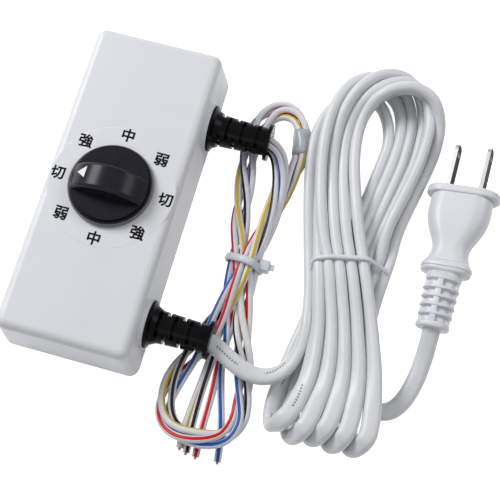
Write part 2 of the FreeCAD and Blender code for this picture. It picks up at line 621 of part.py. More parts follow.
inlay = new_body("pointer_prism", on_dial)
arrow = Profile(inlay, "pointer_outline", "XY", pointer_low).polygon(arrow_points)
step(inlay, "Pad", "pointer_block", arrow, Length=D["grip_height"])
dome = doc.addObject("Part::Cylinder", "pointer_dome")
bind(dome, "Radius", arch_radius + D["pointer_proud"])
bind(dome, "Height", D["grip_width"])
dome.Placement.Rotation = FreeCAD.Rotation(V(1, 0, 0), 90)
bind(dome, "Placement.Base.y", dial_y + D["grip_width"] / 2)
bind(dome, "Placement.Base.z", disc_top + D["grip_height"] - arch_radius)
pointer = doc.addObject("Part::Common", "knob_pointer")
pointer.Base = inlay
pointer.Tool = dome
keep("knob_pointer", pointer)

# Cable glands: two of one form, the mains one turned a quarter to its flat flex.
GLAND_SLOTS = 6


def gland(name, y, flat_bore):
    body = new_body(name, (D["collar_face"], y, D["gland_height"]),
                    FreeCAD.Rotation(V(0, 1, 0), 90))
    neck_back = D["collar_inner"] - D["collar_face"]
    flange_back = neck_back - D["gland_inner_flange_thick"]
    end_start = D["gland_reach"] - D["gland_end_thick"]
    solid = revolve(body, name + "_solid", [
        (0, flange_back), (D["gland_inner_flange"], flange_back),
        (D["gland_inner_flange"], neck_back), (D["gland_neck"], neck_back),
        (D["gland_neck"], 0), (D["gland_flange"], 0),
        (D["gland_flange"], D["gland_flange_thick"] * 0.6),
        (D["gland_flare_radius"], D["gland_flange_thick"] * 1.2),
        (D["gland_body"], D["gland_flare_end"]),
        (D["gland_body_end"], end_start), (D["gland_end_flange"], end_start),
        (D["gland_end_flange"], D["gland_reach"]), (0, D["gland_reach"])])
    # Each slot runs part of the way round; every second pair is turned a quarter.
    floor, rim = D["gland_slot_floor"], D["gland_flange"]
    for turn, plane in enumerate(("XZ", "YZ") if flat_bore else ("YZ", "XZ")):
        slots = Profile(body, "%s_slot_outlines_%d" % (name, turn), plane)
        for k in range(turn, GLAND_SLOTS, 2):
            for side in (-1, 1):
                slots.rectangle((floor + rim) / 2 * side,
                                D["gland_slot_first"] + D["gland_slot_pitch"] * k,
                                rim - floor, D["gland_slot"])
        step(body, "Groove", "%s_slots_%d" % (name, turn), slots, Midplane=True,
             ReferenceAxis=(slots.sketch, ["V_Axis"]), Angle=D["gland_slot_sweep"])
    bore = Profile(body, name + "_bore_outline", "XY", flange_back)
    if flat_bore:
        bore.stadium(D["flex_width"], D["flex_thick"], False)
    else:
        bore.circle(0, 0, D["bundle_radius"])
    step(body, "Pocket", name + "_bore", bore, Type="ThroughAll", Reversed=True)
    return keep(name, body)


gland("fan_gland", D["fan_gland_y"], False)
gland("mains_gland", D["mains_gland_y"], True)

bars = []
bar_screws = []
for cable, y, half in holds:
    top = D["gland_height"] - half
    low = top - D["clamp_bar_thick"]
    body = new_body(cable + "_clamp_bar", (D["clamp_x"], y, 0))
    outline = Profile(body, cable + "_clamp_bar_outline", "XY", low)
    outline.rectangle(0, 0, D["clamp_bar"], D["clamp_block_length"])
    for side in (-1, 1):
        outline.circle(0, D["clamp_screw_pitch"] * side,
                       D["clamp_screw_radius"] + D["clamp_screw_clearance"])
    step(body, "Pad", cable + "_clamp_bar_block", outline, Length=D["clamp_bar_thick"])
    bars.append(body)
    for side in (-1, 1):
        body = new_body("%s_clamp_screw_%d" % (cable, side + 1),
                        (D["clamp_x"], y + D["clamp_screw_pitch"] * side, 0))
        tip = D["gland_height"] + half + D["clamp_screw_depth"]
        revolve(body, "%s_clamp_screw_solid_%d" % (cable, side + 1), [
            (0, low - D["clamp_screw_head_thick"]),
            (D["clamp_screw_head"], low - D["clamp_screw_head_thick"]),
            (D["clamp_screw_head"], low), (D["clamp_screw_radius"], low),
            (D["clamp_screw_radius"], tip), (0, tip)])
        bar_screws.append(body)
for name, members in (("clamp_bars", bars), ("clamp_screws", bar_screws)):
    group = doc.addObject("Part::Compound", name + "_group")
    group.Links = members
    keep(name, group)

# Plug: a moulded body on the flat flex, with two blades.
# It lies leaning on one edge of its face plate.
lean = math.radians(D["plug_lean"].value)
plug_turn = FreeCAD.Rotation(V(0, 1, 0), -D["plug_lean"].value).multiply(
    FreeCAD.Rotation(V(1, 0, 0), -90))
plug = new_body("plug_body", (D["plug_x"], D["plug_face_y"], D["plug_height"]), plug_turn)


def plug_section(name, back, width, thick):
    """A cross-section of the plug: its distance behind the face, its width, its thickness."""
    return Profile(plug, name, "XY", -as_size(back)).stadium(width, thick)


def loft(name, sections):
    feature = plug.newObject("PartDesign::AdditiveLoft", name)
    feature.Profile = sections[0].sketch
    feature.Sections = [s.sketch for s in sections[1:]]
    plug.Tip = feature
    doc.recompute()
    return feature


face = plug_section("face_outline", D["face_depth"], D["face_width"], D["face_thick"])
step(plug, "Pad", "face_block", face, Length=D["face_depth"])
dress(plug, "Fillet", "face_edge", plug.Tip,
      lambda e: flat_at(0)(e) or flat_at(-D["face_depth"])(e), D["face_round"])
front_end, collar_end = D["collar_front"], D["collar_back"]
SHOULDER = {
    # name: distance behind the face, width, thickness
    "root": (D["face_depth"], 24.0, 12.6),
    "palm": (8.0, 24.2, 12.6),
    "slope": (14.0, 22.8, 12.2),
    "grip": (19.6, 18.2, 11.4),
    "waist": (24.7, 14.4, 10.6),
    "flare": (28.4, 15.8, 10.8),
    "brim": (front_end, 19.8, 11.8),
}
loft("plug_shoulder", [plug_section("shoulder_" + name, *row) for name, row in SHOULDER.items()])
loft("plug_collar", [plug_section("collar_front_outline", front_end, 19.8, 11.8),
                     plug_section("collar_back_outline", collar_end, 19.8, 11.8)])
loft("plug_relief", [plug_section("relief_front_outline", collar_end, 11.6, 8.4),
                     plug_section("relief_back_outline", D["relief_end"], 10.0, 7.6)])
# The relief is ringed, with a web along each of its four sides between the rings.
RINGS = 6
for k in range(RINGS):
    back = D["ring_first"] + D["ring_pitch"] * k
    ring = plug_section("ring_outline_%d" % k, back, D["ring_width"] - D["ring_taper"] * k,
                        D["ring_thick"] - D["ring_taper"] * k)
    step(plug, "Pad", "ring_%d" % k, ring, Length=D["ring_length"])
relief_length = D["relief_end"] - collar_end
web_thick = D["ring_thick"] - D["ring_taper"] * RINGS - D["web_step"]
web_wide = D["ring_width"] - D["ring_taper"] * RINGS - D["web_step"]
webs = Profile(plug, "web_outline", "XY", -D["relief_end"])
webs.rectangle(0, 0, D["web_width"], web_thick)
step(plug, "Pad", "relief_webs", webs, Length=relief_length)
webs = Profile(plug, "side_web_outline", "XY", -D["relief_end"])
webs.rectangle(0, 0, web_wide, D["web_width"])
step(plug, "Pad", "relief_side_webs", webs, Length=relief_length)
bore = Profile(plug, "relief_bore_outline", "XY", -D["relief_end"])
bore.stadium(D["flex_width"], D["flex_thick"])
step(plug, "Pocket", "relief_bore", bore, Reversed=True, Length=D["relief_bore_depth"])
pins = Profile(plug, "blade_slot_outlines", "XY", 0)
for side in (-1, 1):
    pins.rectangle(D["blade_spacing"] / 2 * side, 0, D["blade_thick"], D["blade_width"])
step(plug, "Pocket", "blade_slots", pins, Length=D["blade_root"])
keep("plug_body", plug)

blade = new_body("plug_blade", (0, 0, 0), plug_turn)
strip = Profile(blade, "blade_outline", "YZ")
strip.rectangle(0, (D["blade_reach"] - D["blade_root"]) / 2, D["blade_width"],
                D["blade_reach"] + D["blade_root"])
strip.circle(0, D["blade_reach"] - D["blade_hole_from_tip"], D["blade_hole"])
strip = step(blade, "Pad", "blade_strip", strip, Length=D["blade_thick"], Midplane=True)
dress(blade, "Fillet", "blade_tip", strip,
      lambda e: near(e.BoundBox.ZMin, D["blade_reach"]) and near(e.BoundBox.XLength, D["blade_thick"]),
      D["blade_tip_round"])
blade_out = D["blade_spacing"] / 2
copies("plug_blades", blade, [
    (D["plug_x"] + blade_out * (math.cos(lean) * side), D["plug_face_y"],
     D["plug_height"] + blade_out * (math.sin(lean) * side))
    for side in (-1, 1)])


# Cords: plain tubes for the runs, closed solids for the hanks.
def num(name):
    return D[name].value


def route(points, label):
    """Straight runs joined by tangent arcs; prints the bend radii."""
    points = [V(*p) for p in points]
    parts = []
    radii = []
    start = points[0]
    for before, here, after in zip(points, points[1:], points[2:]):
        into = (here - before).normalize()
        out = (after - here).normalize()
        half_turn = into.getAngle(out) / 2
        shorter = min((here - before).Length, (after - here).Length)
        setback = 0.45 * shorter
        radius = setback / math.tan(half_turn)
        radii.append(radius)
        first = here - into * setback
        last = here + out * setback
        inward = (out - into).normalize()
        middle = here + inward * (radius / math.cos(half_turn) - radius)
        parts.append(Part.LineSegment(start, first).toShape())
        parts.append(Part.Arc(first, middle, last).toShape())
        start = last
    parts.append(Part.LineSegment(start, points[-1]).toShape())
    wire = Part.Wire(parts)
    if radii:
        print(label, "bend radii", [round(r, 1) for r in radii], "length", round(wire.Length, 1))
    return wire


def shape_node(name, shape):
    feature = doc.addObject("Part::Feature", name)
    feature.Shape = shape
    return keep(name, feature)


def round_tube(points, radius, label):
    wire = route(points, label)
    ring = Part.Wire([Part.Circle(V(*points[0]), wire.Edges[0].tangentAt(0), radius).toShape()])
    tube = wire.makePipeShell([ring], True, False)
    check_tube(label, tube, math.pi * radius * radius, wire.Length)
    return tube


def check_tube(label, tube, area, length):
    ratio = tube.Volume / (area * length)
    print(label, "volume over section x length", round(ratio, 3), "valid", tube.isValid())


def flat_tube(points, width, thick, label):
    """A flat flex with its wide face up all along."""
    wire = route(points, label)
    along = wire.Edges[0].tangentAt(0)
    across = V(0, 0, 1).cross(along).normalize()
    up = along.cross(across).normalize()
    reach, radius = width / 2 - thick / 2, thick / 2
    here = V(*points[0])
    corner = [here + across * (reach * sx) + up * (radius * sy)
              for sx, sy in ((-1, -1), (1, -1), (1, 1), (-1, 1))]
    right = here + across * (width / 2)
    left = here - across * (width / 2)
    outline = Part.Wire([Part.LineSegment(corner[0], corner[1]).toShape(),
                         Part.Arc(corner[1], right, corner[2]).toShape(),
                         Part.LineSegment(corner[2], corner[3]).toShape(),
                         Part.Arc(corner[3], left, corner[0]).toShape()])
    sweep = Part.BRepOffsetAPI.MakePipeShell(wire)
    sweep.setBiNormalMode(V(0, 0, 1))
    sweep.add(outline)
    sweep.build()
    sweep.makeSolid()
    tube = sweep.shape()
    area = 2 * reach * thick + math.pi * radius * radius
    check_tube(label, tube, area, wire.Length)
    return tube


mains_y, fan_y, cable_z = num("mains_gland_y"), num("fan_gland_y"), num("gland_height")
join_x, jacket_x = num("jacket_join"), num("jacket_end")
gland_end = num("collar_face") + num("gland_reach")
flex = (num("flex_width"), num("flex_thick"))
flex_low = 3.6
shape_node("mains_cord_inner", flat_tube(
    [(jacket_x, mains_y, cable_z), (join_x, mains_y, cable_z)], *flex, "mains_cord_inner"))
shape_node("fan_lead_inner", round_tube(
    [(jacket_x, fan_y, cable_z), (join_x, fan_y, cable_z)], num("bundle_radius"), "fan_lead_inner"))
shape_node("mains_cord_lead", flat_tube(
    [(join_x, mains_y, cable_z), (gland_end + 5, mains_y, cable_z), (70, -50.5, flex_low),
     (85, -46, flex_low)], *flex, "mains_cord_lead"))
plug_back = num("plug_face_y") - num("relief_end")
shape_node("mains_cord_tail", flat_tube(
    [(110, -47, flex_low), (116.5, -54.5, flex_low), (125.5, -48, flex_low),
     (num("plug_x"), -29, 6.6),
     (num("plug_x"), plug_back + num("relief_bore_depth") - 4.5, num("plug_height"))],
    *flex, "mains_cord_tail"))
shape_node("fan_lead_out", round_tube(
    [(join_x, fan_y, cable_z), (gland_end + 1.5, fan_y, cable_z), (59, 27, 7), (59.4, 15, 4.2)],
    num("bundle_radius"), "fan_lead_out"))


def closed_curve(points):
    curve = Part.BSplineCurve()
    curve.interpolate([V(x, y, 0) for x, y in points], PeriodicFlag=True)
    return Part.Wire([curve.toShape()])


def lifted(face, low, high):
    face.translate(V(0, 0, low))
    return face.extrude(V(0, 0, high - low))


# The hank's outer shape: two lobes drawn in at the tie, with one opening in the upper lobe.
hank_edge = [(79, -30), (78, -15), (75.2, -4), (71, 12), (67, 30), (65, 46), (66.4, 62),
             (72.5, 74), (84, 81.5), (98, 81.5), (110.5, 74), (117, 60), (115.6, 44),
             (110.6, 26), (107.4, 10), (105.6, -6), (108.6, -20), (113.8, -36), (119, -54),
             (118.6, -66), (110, -73.4), (98, -74), (86, -73.2), (77.6, -66), (76.4, -54),
             (78.6, -42)]
hank_opening = [(91, 29), (87.8, 40), (86, 52), (87.6, 61), (91, 64), (93.8, 58),
                (94.4, 48), (93, 37)]
hank_face = Part.Face([closed_curve(hank_edge), closed_curve(hank_opening)],
                      "Part::FaceMakerCheese")
hank = lifted(hank_face, num("hank_low"), num("hank_high"))
rims = [e for e in hank.Edges if e.BoundBox.ZLength < 0.01]
hank = hank.makeFillet(num("hank_round"), rims)
shape_node("mains_cord_hank", hank)


def ribbon(points, high):
    """A flat-lying run of the bundle, as an upright-sided strip."""
    wire = Part.makePolygon([V(x, y, 0) for x, y in points])
    outline = wire.makeOffset2D(num("bundle_width") / 2, join=0, fill=False, openResult=False)
    return lifted(Part.Face(outline), num("bundle_low"), high)


high, under = num("bundle_high"), num("bundle_under_gland")
sleeve_foot, sleeve_head = (61.0, 30), (60.6, 45)
runs = [([(59.3, 21), (58.4, 8), (56.8, -6), (54.6, -18), (52.6, -26)], high),
        ([(52.6, -26), (50, -36), (45.5, -50), (41.2, -62), (40.2, -70)], under),
        ([(40.2, -70), (43.4, -77), (50, -81), (58, -81.6), (65, -78), (68.8, -70),
          (67.6, -58), (64, -46), (60.4, -34), (57.6, -10)], high),
        ([(57.6, -10), (58.2, 2), (60, 15), sleeve_foot, sleeve_head], high),
        ([sleeve_head, (58.6, 52), (53.6, 56), (48, 54), (43.8, 47), (43, 35), (44.5, 22),
          (47, 8), (50, -4), (51, -8)], under),
        ([(51, -8), (53, -26), (55.2, -37), (55.2, -50), (53, -57)], high),
        ([(50.4, -57.4), (53.4, -57.8), (56.4, -57.4)], under)]
fan_hank = ribbon(*runs[0])
for run in runs[1:]:
    fan_hank = fan_hank.fuse(ribbon(*run))
fan_hank = fan_hank.removeSplitter()
fan_hank = fan_hank.Solids[0] if len(fan_hank.Solids) == 1 else fan_hank
print("fan hank solids", len(fan_hank.Solids))
shape_node("fan_lead_hank", fan_hank)


def band(wrapped, low_x, high_x, y, width, thick, top):
    """A band drawn round a hank: a block less what it holds."""
    block = Part.makeBox(high_x - low_x, width, top + thick, V(low_x, y - width / 2, 0))
    uprights = [e for e in block.Edges if e.BoundBox.YLength > width / 2]
    block = block.makeFillet(thick, uprights)
    return block.cut(wrapped)


HANK_TIE_SPAN = (75.2, 106.6)
FAN_TIE_SPAN = (46.9, 61.6)
TIE_HEAD_AT = (60.4, 3.4)
tie = band(hank, *HANK_TIE_SPAN, num("hank_tie_y"), num("hank_tie_width"),
           num("hank_tie_thick"), num("hank_high"))
shape_node("hank_tie", tie)
fan_tie = band(fan_hank, *FAN_TIE_SPAN, num("fan_tie_y"), num("fan_tie_width"),
               num("fan_tie_thick"), high)
head = Part.makeBox(num("tie_head_width"), num("tie_head_length"), num("tie_head_height"),
                    V(TIE_HEAD_AT[0], num("fan_tie_y") - num("tie_head_length") / 2,
                      TIE_HEAD_AT[1]))
head = head.makeFillet(num("tie_head_round"), head.Edges)
shape_node("fan_lead_tie", fan_tie.fuse(head.cut(fan_hank)).removeSplitter())

along = (V(*sleeve_head, 0) - V(*sleeve_foot, 0)).normalize()
across = V(along.y, -along.x, 0) * (num("bundle_width") / 2 + num("sleeve_wall"))
ends = [V(*sleeve_foot, 0) + along * num("sleeve_from"),
        V(*sleeve_foot, 0) + along * (num("sleeve_from") + num("sleeve_length"))]
sleeve = Part.Face(Part.makePolygon([ends[0] - across, ends[0] + across, ends[1] + across,
                                     ends[1] - across, ends[0] - across]))
sleeve = lifted(sleeve, 0, high + num("sleeve_wall"))
rims = [e for e in sleeve.Edges if e.BoundBox.YLength > num("sleeve_length") / 2]
sleeve = sleeve.makeFillet(num("sleeve_wall") * 2, rims)
shape_node("lead_sleeve", sleeve.cut(fan_hank))

# The four free wires: where each leaves the hank, where it turns and where it ends.
wire_z = 1.9
wire_rows = [("white", (48.7, -57), (49.4, -70), (49.0, -85.6)),
             ("black", (51.7, -57), (52.6, -70), (52.6, -86.2)),
             ("red", (54.7, -57), (56.4, -70), (57.0, -86.6)),
             ("blue", (57.7, -57), (61.2, -70), (65.0, -85.8))]
wires = []
ends = []
for color, first, turn, last in wire_rows:
    points = [(*first, wire_z), (*turn, wire_z), (*last, wire_z)]
    wires.append(round_tube(points, num("wire_radius"), "fan_wire_" + color))
    along = (V(*points[2]) - V(*points[1])).normalize()
    ends.append(Part.makeCylinder(num("copper_radius"), num("copper_bare"), V(*points[2]), along))
for (color, *_), tube in zip(wire_rows, wires):
    shape_node("fan_wire_" + color, tube)
shape_node("wire_ends", Part.makeCompound(ends))

# Inner cores: from the jacket ends to the switch terminals, and the butt splice that
# joins the mains neutral to the fan's common wire.
core = num("core_radius")
spread = num("core_spread")
start_x = jacket_x + num("core_start")
north = dial_y.value + num("terminal_spot") + num("terminal_thick") / 2
middle = dial_y.value + num("terminal_thick") / 2
south = dial_y.value - num("terminal_spot") - num("terminal_thick") / 2
spot, tab_z = num("terminal_spot"), 6.8
splice_x, splice_y, splice_z = -9.0, -30.0, 7.0
core_rows = {
    "mains_core_live": [(start_x, mains_y + spread, cable_z), (7.5, -33, 9), (0.8, -20.5, 6.9),
                        (0, south, tab_z)],
    "mains_core_neutral": [(start_x, mains_y - spread, cable_z), (2.5, -46, 9.5),
                           (splice_x, -41, splice_z), (splice_x, splice_y - core, splice_z)],
    "fan_core_high": [(start_x, fan_y + spread, cable_z - spread), (7, 36.5, 9.2),
                      (0.3, 22, 6.9), (0, north, tab_z)],
    "fan_core_medium": [(start_x, fan_y - spread, cable_z - spread), (9.4, 24.4, 7.6),
                        (spot + 0.3, 11.5, tab_z), (spot, middle, tab_z)],
    "fan_core_low": [(start_x, fan_y - spread, cable_z + spread), (4, 29.5, 10.6),
                     (-4, 19.5, 7.4), (-spot - 0.1, 9.5, tab_z), (-spot, middle, tab_z)],
    "fan_core_common": [(start_x, fan_y + spread, cable_z + spread), (2, 37, 11.9), (-8, 29, 8),
                        (-10.4, 13, 5.8), (-10.2, -4, 5.8), (splice_x, -18, splice_z),
                        (splice_x, splice_y + core, splice_z)],
}
for name, points in core_rows.items():
    shape_node(name, round_tube(points, core, name))
half = num("splice_length") / 2
splice = [Part.makeCylinder(radius, 2 * half, V(splice_x, splice_y - half, splice_z), V(0, 1, 0))
          for radius in (num("splice_radius"), core)]
shape_node("splice_sleeve", splice[0].cut(splice[1]))


# Each named piece is written to a file of its own.
doc.recompute()
for thing in doc.Objects:
    for word in ("Invalid", "Error"):
        if word in thing.State:
            raise RuntimeError("%s is %s" % (thing.Name, thing.State))
for name, thing in NODES.items():
    shape = thing.Shape
    if shape.isNull() or not shape.isValid() or not shape.Solids:
        raise RuntimeError("%s has no valid solid" % name)
    shape.exportStep("parts/%s.step" % name)
    box = shape.optimalBoundingBox(True, False)
    print("%-20s solids %d volume %8.1f  x %.1f..%.1f y %.1f..%.1f z %.2f..%.2f" % (
        name, len(shape.Solids), shape.Volume, box.XMin, box.XMax, box.YMin, box.YMax,
        box.ZMin, box.ZMax))
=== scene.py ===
import json
import math

import bpy
import bmesh
import numpy as np
from mathutils import Matrix, Vector

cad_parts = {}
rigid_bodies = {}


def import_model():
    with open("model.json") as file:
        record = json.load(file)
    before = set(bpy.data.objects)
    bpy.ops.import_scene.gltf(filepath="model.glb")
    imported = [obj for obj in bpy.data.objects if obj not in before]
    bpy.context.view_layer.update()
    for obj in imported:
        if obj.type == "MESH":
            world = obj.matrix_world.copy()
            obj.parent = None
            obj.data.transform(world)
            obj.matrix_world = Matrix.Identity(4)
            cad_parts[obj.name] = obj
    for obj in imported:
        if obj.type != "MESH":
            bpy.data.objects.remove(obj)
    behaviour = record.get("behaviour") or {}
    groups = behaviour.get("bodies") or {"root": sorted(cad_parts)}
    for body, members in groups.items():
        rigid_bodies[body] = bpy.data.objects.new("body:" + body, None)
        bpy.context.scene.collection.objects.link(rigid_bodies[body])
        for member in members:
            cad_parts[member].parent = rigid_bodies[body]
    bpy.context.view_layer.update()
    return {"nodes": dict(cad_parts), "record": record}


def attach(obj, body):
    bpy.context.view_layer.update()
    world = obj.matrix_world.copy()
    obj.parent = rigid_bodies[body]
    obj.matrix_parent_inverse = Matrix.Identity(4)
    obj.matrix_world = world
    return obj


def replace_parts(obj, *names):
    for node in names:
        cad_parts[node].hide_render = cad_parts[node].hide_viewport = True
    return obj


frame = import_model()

nodes = frame["nodes"]
MM = 0.001
UP_WAY = np.array((0.0, 0.0, 1.0))

# Where things lie in millimetres, as in the frame's solids.
KNOB_AXIS_Y = -0.73
PLUG_PLACE = (128.9, 38.2, 9.3)
PLUG_LEAN = math.radians(17.0)
BLADE_SPACING = 12.7
HANK_TIE_Y = -4.2
FAN_TIE_Y = -10.6


# Helpers for objects, meshes and nodes.

def shown(name, data):
    """Puts a mesh, curve, lamp or lens into the scene as an object of its own."""
    thing = bpy.data.objects.new(name, data)
    bpy.context.collection.objects.link(thing)
    return thing


def plain_mesh(holder):
    """Reads off the mesh that an object shows, and takes the object away."""
    bpy.context.view_layer.update()
    seen = holder.evaluated_get(bpy.context.evaluated_depsgraph_get())
    mesh = bpy.data.meshes.new_from_object(seen)
    data = holder.data
    bpy.data.objects.remove(holder)
    bpy.data.batch_remove([data])
    return mesh


def mesh_of(shape, name):
    """Ends the work on a shape and keeps it as a mesh."""
    mesh = bpy.data.meshes.new(name)
    shape.to_mesh(mesh)
    shape.free()
    return mesh


def joined(meshes):
    """One shape to work on, made of several meshes, which are used up."""
    whole = bmesh.new()
    for mesh in meshes:
        whole.from_mesh(mesh)
        bpy.data.meshes.remove(mesh)
    return whole


def finished(name, mesh, finish):
    """Turns a mesh's faces outwards, shades them smooth and shows the mesh in its finish."""
    solid = bmesh.new()
    solid.from_mesh(mesh)
    bmesh.ops.recalc_face_normals(solid, faces=solid.faces)
    solid.to_mesh(mesh)
    solid.free()
    mesh.polygons.foreach_set("use_smooth", [True] * len(mesh.polygons))
    mesh.materials.append(finish)
    return shown(name, mesh)


def set_on_housing(piece):
    """Has a piece ride on the housing."""
    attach(piece, "housing")
    return piece


def math_node(tree, operation, *values):
    """A math node on sockets or plain numbers."""
    node = tree.nodes.new("ShaderNodeMath")
    node.operation = operation
    for slot, value in zip(node.inputs, values):
        if isinstance(value, (int, float)):
            slot.default_value = value
        else:
            tree.links.new(value, slot)
    return node.outputs[0]


# The camera: its place in metres and its ways, worked out from the housing's edges and its dial.

CAMERA_PLACE = (0.10253, -0.12636, 0.41664)
CAMERA_RIGHT = (0.96139, 0.27346, -0.03080)
CAMERA_DOWN = (0.25206, -0.91995, -0.30027)
CAMERA_FORWARD = (-0.11044, 0.28092, -0.95336)
CAMERA_LENS = 80.53


def place_camera():
    """Sets the camera above the switch and a little to its lower right."""
    lens = bpy.data.cameras.new("camera")
    lens.lens = CAMERA_LENS
    eye = shown("camera", lens)
    rows = (Vector(CAMERA_RIGHT), -Vector(CAMERA_DOWN), -Vector(CAMERA_FORWARD))
    turn = Matrix(rows).transposed().to_4x4()
    eye.matrix_world = Matrix.Translation(Vector(CAMERA_PLACE)) @ turn
    bpy.context.scene.camera = eye


# The studio. Each softbox has a name, a place, a point that it is aimed at, and its watts.

SOFTBOXES = (
    ("key softbox", (-0.62, 0.30, 0.62), (0.03, 0.0, 0.0), 6.5),
    ("right softbox", (0.62, 0.42, 0.66), (0.06, 0.0, 0.0), 2.2),
    ("near softbox", (0.12, -0.62, 0.80), (0.06, 0.0, 0.0), 0.8),
)
SOFTBOX_SIZE = (0.45, 0.35)
SURROUND_LEVEL = 0.25
PAPER_SHADE = 0.82
PAPER_GLOW = 0.95
SWEEP_REACH = 1.5


def hang_softbox(name, place, target, watts):
    """A large studio softbox aimed at a point."""
    lamp = bpy.data.lights.new(name, "AREA")
    lamp.shape = "RECTANGLE"
    lamp.size, lamp.size_y = SOFTBOX_SIZE
    lamp.energy = watts
    box = shown(name, lamp)
    box.location = place
    box.rotation_euler = (Vector(target) - Vector(place)).to_track_quat("-Z", "Y").to_euler()


def seen_directly(tree):
    """One where a ray comes from the camera, a mirror-like surface or glass."""
    path = tree.nodes.new("ShaderNodeLightPath").outputs
    either = math_node(tree, "MAXIMUM", path["Is Camera Ray"], path["Is Glossy Ray"])
    return math_node(tree, "MAXIMUM", either, path["Is Transmission Ray"])


def light_surround():
    """A surround that looks white but lights the object only at a low level."""
    world = bpy.data.worlds.new("studio surround")
    bpy.context.scene.world = world
    world.use_nodes = True
    tree = world.node_tree
    surround = tree.nodes["Background"]
    surround.inputs["Color"].default_value = (1.0, 1.0, 1.0, 1.0)
    level = tree.nodes.new("ShaderNodeMapRange")
    level.inputs["To Min"].default_value = SURROUND_LEVEL
    level.inputs["To Max"].default_value = 1.0
    tree.links.new(seen_directly(tree), level.inputs["Value"])
    tree.links.new(level.outputs["Result"], surround.inputs["Strength"])


def lay_sweep():
    """The white paper that everything lies on."""
    paper = bpy.data.materials.new("white sweep paper")
    paper.use_nodes = True
    tree = paper.node_tree
    shader = tree.nodes["Principled BSDF"]
    shader.inputs["Base Color"].default_value = (PAPER_SHADE, PAPER_SHADE, PAPER_SHADE, 1.0)
    shader.inputs["Roughness"].default_value = 0.9
    shader.inputs["Specular IOR Level"].default_value = 0.1
    shader.inputs["Emission Color"].default_value = (1.0, 1.0, 1.0, 1.0)
    glow = math_node(tree, "MULTIPLY", seen_directly(tree), PAPER_GLOW)
    tree.links.new(glow, shader.inputs["Emission Strength"])
    sheet = bmesh.new()
    bmesh.ops.create_grid(sheet, x_segments=8, y_segments=8, size=SWEEP_REACH)
    floor = shown("white_sweep", mesh_of(sheet, "white sweep"))
    floor.data.materials.append(paper)


# Finishes: a soft noise between two near shades, and another in the gloss.

NOISE_SPAN = (0.3, 0.7)
NOISE_DETAIL = 3.0
GRAIN_HEIGHT = 0.2 * MM
GLOSS_SCALE = 4.0


def mottle(tree, coords, scale, low, high):
    """A soft noise that runs from low to high."""
    noise = tree.nodes.new("ShaderNodeTexNoise")
    noise.inputs["Scale"].default_value = scale
    noise.inputs["Detail"].default_value = NOISE_DETAIL
    tree.links.new(coords, noise.inputs["Vector"])
    spread = tree.nodes.new("ShaderNodeMapRange")
    spread.inputs["From Min"].default_value, spread.inputs["From Max"].default_value = NOISE_SPAN
    spread.inputs["To Min"].default_value = low
    spread.inputs["To Max"].default_value = high
    tree.links.new(noise.outputs["Fac"], spread.inputs["Value"])
    return spread.outputs["Result"]


def moulded(name, colour, shade, rough, grain=3000.0, depth=0.02, colour_scale=60.0, **sockets):
    """A moulded or rolled finish: two near shades, uneven gloss and a fine grain."""
    made = bpy.data.materials.new(name)
    made.use_nodes = True
    tree = made.node_tree
    shader = tree.nodes["Principled BSDF"]
    coords = tree.nodes.new("ShaderNodeTexCoord").outputs["Object"]
    blend = tree.nodes.new("ShaderNodeMix")
    blend.data_type = "RGBA"
    blend.inputs["A"].default_value = (*colour, 1.0)
    blend.inputs["B"].default_value = (*shade, 1.0)
    tree.links.new(mottle(tree, coords, colour_scale, 0.0, 1.0), blend.inputs["Factor"])
    tree.links.new(blend.outputs["Result"], shader.inputs["Base Color"])
    gloss = mottle(tree, coords, colour_scale * GLOSS_SCALE, *rough)
    tree.links.new(gloss, shader.inputs["Roughness"])
    bump = tree.nodes.new("ShaderNodeBump")
    bump.inputs["Strength"].default_value = depth
    bump.inputs["Distance"].default_value = GRAIN_HEIGHT
    tree.links.new(mottle(tree, coords, grain, 0.0, 1.0), bump.inputs["Height"])
    tree.links.new(bump.outputs["Normal"], shader.inputs["Normal"])
    for socket, value in sockets.items():
        shader.inputs[socket.replace("_", " ")].default_value = value
    return made


def mask_between(tree, value, low, high):
    """One where the value lies between low and high."""
    above = math_node(tree, "GREATER_THAN", value, low)
    below = math_node(tree, "LESS_THAN", value, high)
    return math_node(tree, "MULTIPLY", above, below)


def mask_share(tree, value, times, start, share):
    """One in the given share, from low to high, of each of the steps that a value is cut into."""
    steps = math_node(tree, "ADD", math_node(tree, "MULTIPLY", value, times), start)
    return mask_between(tree, math_node(tree, "FRACT", steps), *share)


def tinted(made, mask, colour):
    """Lays a second colour over a finish where the mask is one."""
    tree = made.node_tree
    base = tree.nodes["Principled BSDF"].inputs["Base Color"]
    over = tree.nodes.new("ShaderNodeMix")
    over.data_type = "RGBA"
    over.inputs["B"].default_value = (*colour, 1.0)
    tree.links.new(mask, over.inputs["Factor"])
    tree.links.new(base.links[0].from_socket, over.inputs["A"])
    tree.links.new(over.outputs["Result"], base)


def along_and_round(tree):
    """Distance along a cord in metres, and place round it from 0 to 1."""
    flow = tree.nodes.new("ShaderNodeUVMap")
    flow.uv_map = "flow"
    split = tree.nodes.new("ShaderNodeSeparateXYZ")
    tree.links.new(flow.outputs["UV"], split.inputs[0])
    return split.outputs["X"], split.outputs["Y"]


def axes_from(tree, centre, lean=0.0):
    """X, y and z from a centre in metres, leaning about y by an angle."""
    place = tree.nodes.new("ShaderNodeMapping")
    place.vector_type = "TEXTURE"
    place.inputs["Location"].default_value = centre
    place.inputs["Rotation"].default_value = (0.0, lean, 0.0)
    tree.links.new(tree.nodes.new("ShaderNodeTexCoord").outputs["Object"], place.inputs["Vector"])
    axes = tree.nodes.new("ShaderNodeSeparateXYZ")
    tree.links.new(place.outputs["Vector"], axes.inputs[0])
    return [axes.outputs[axis] for axis in "XYZ"]


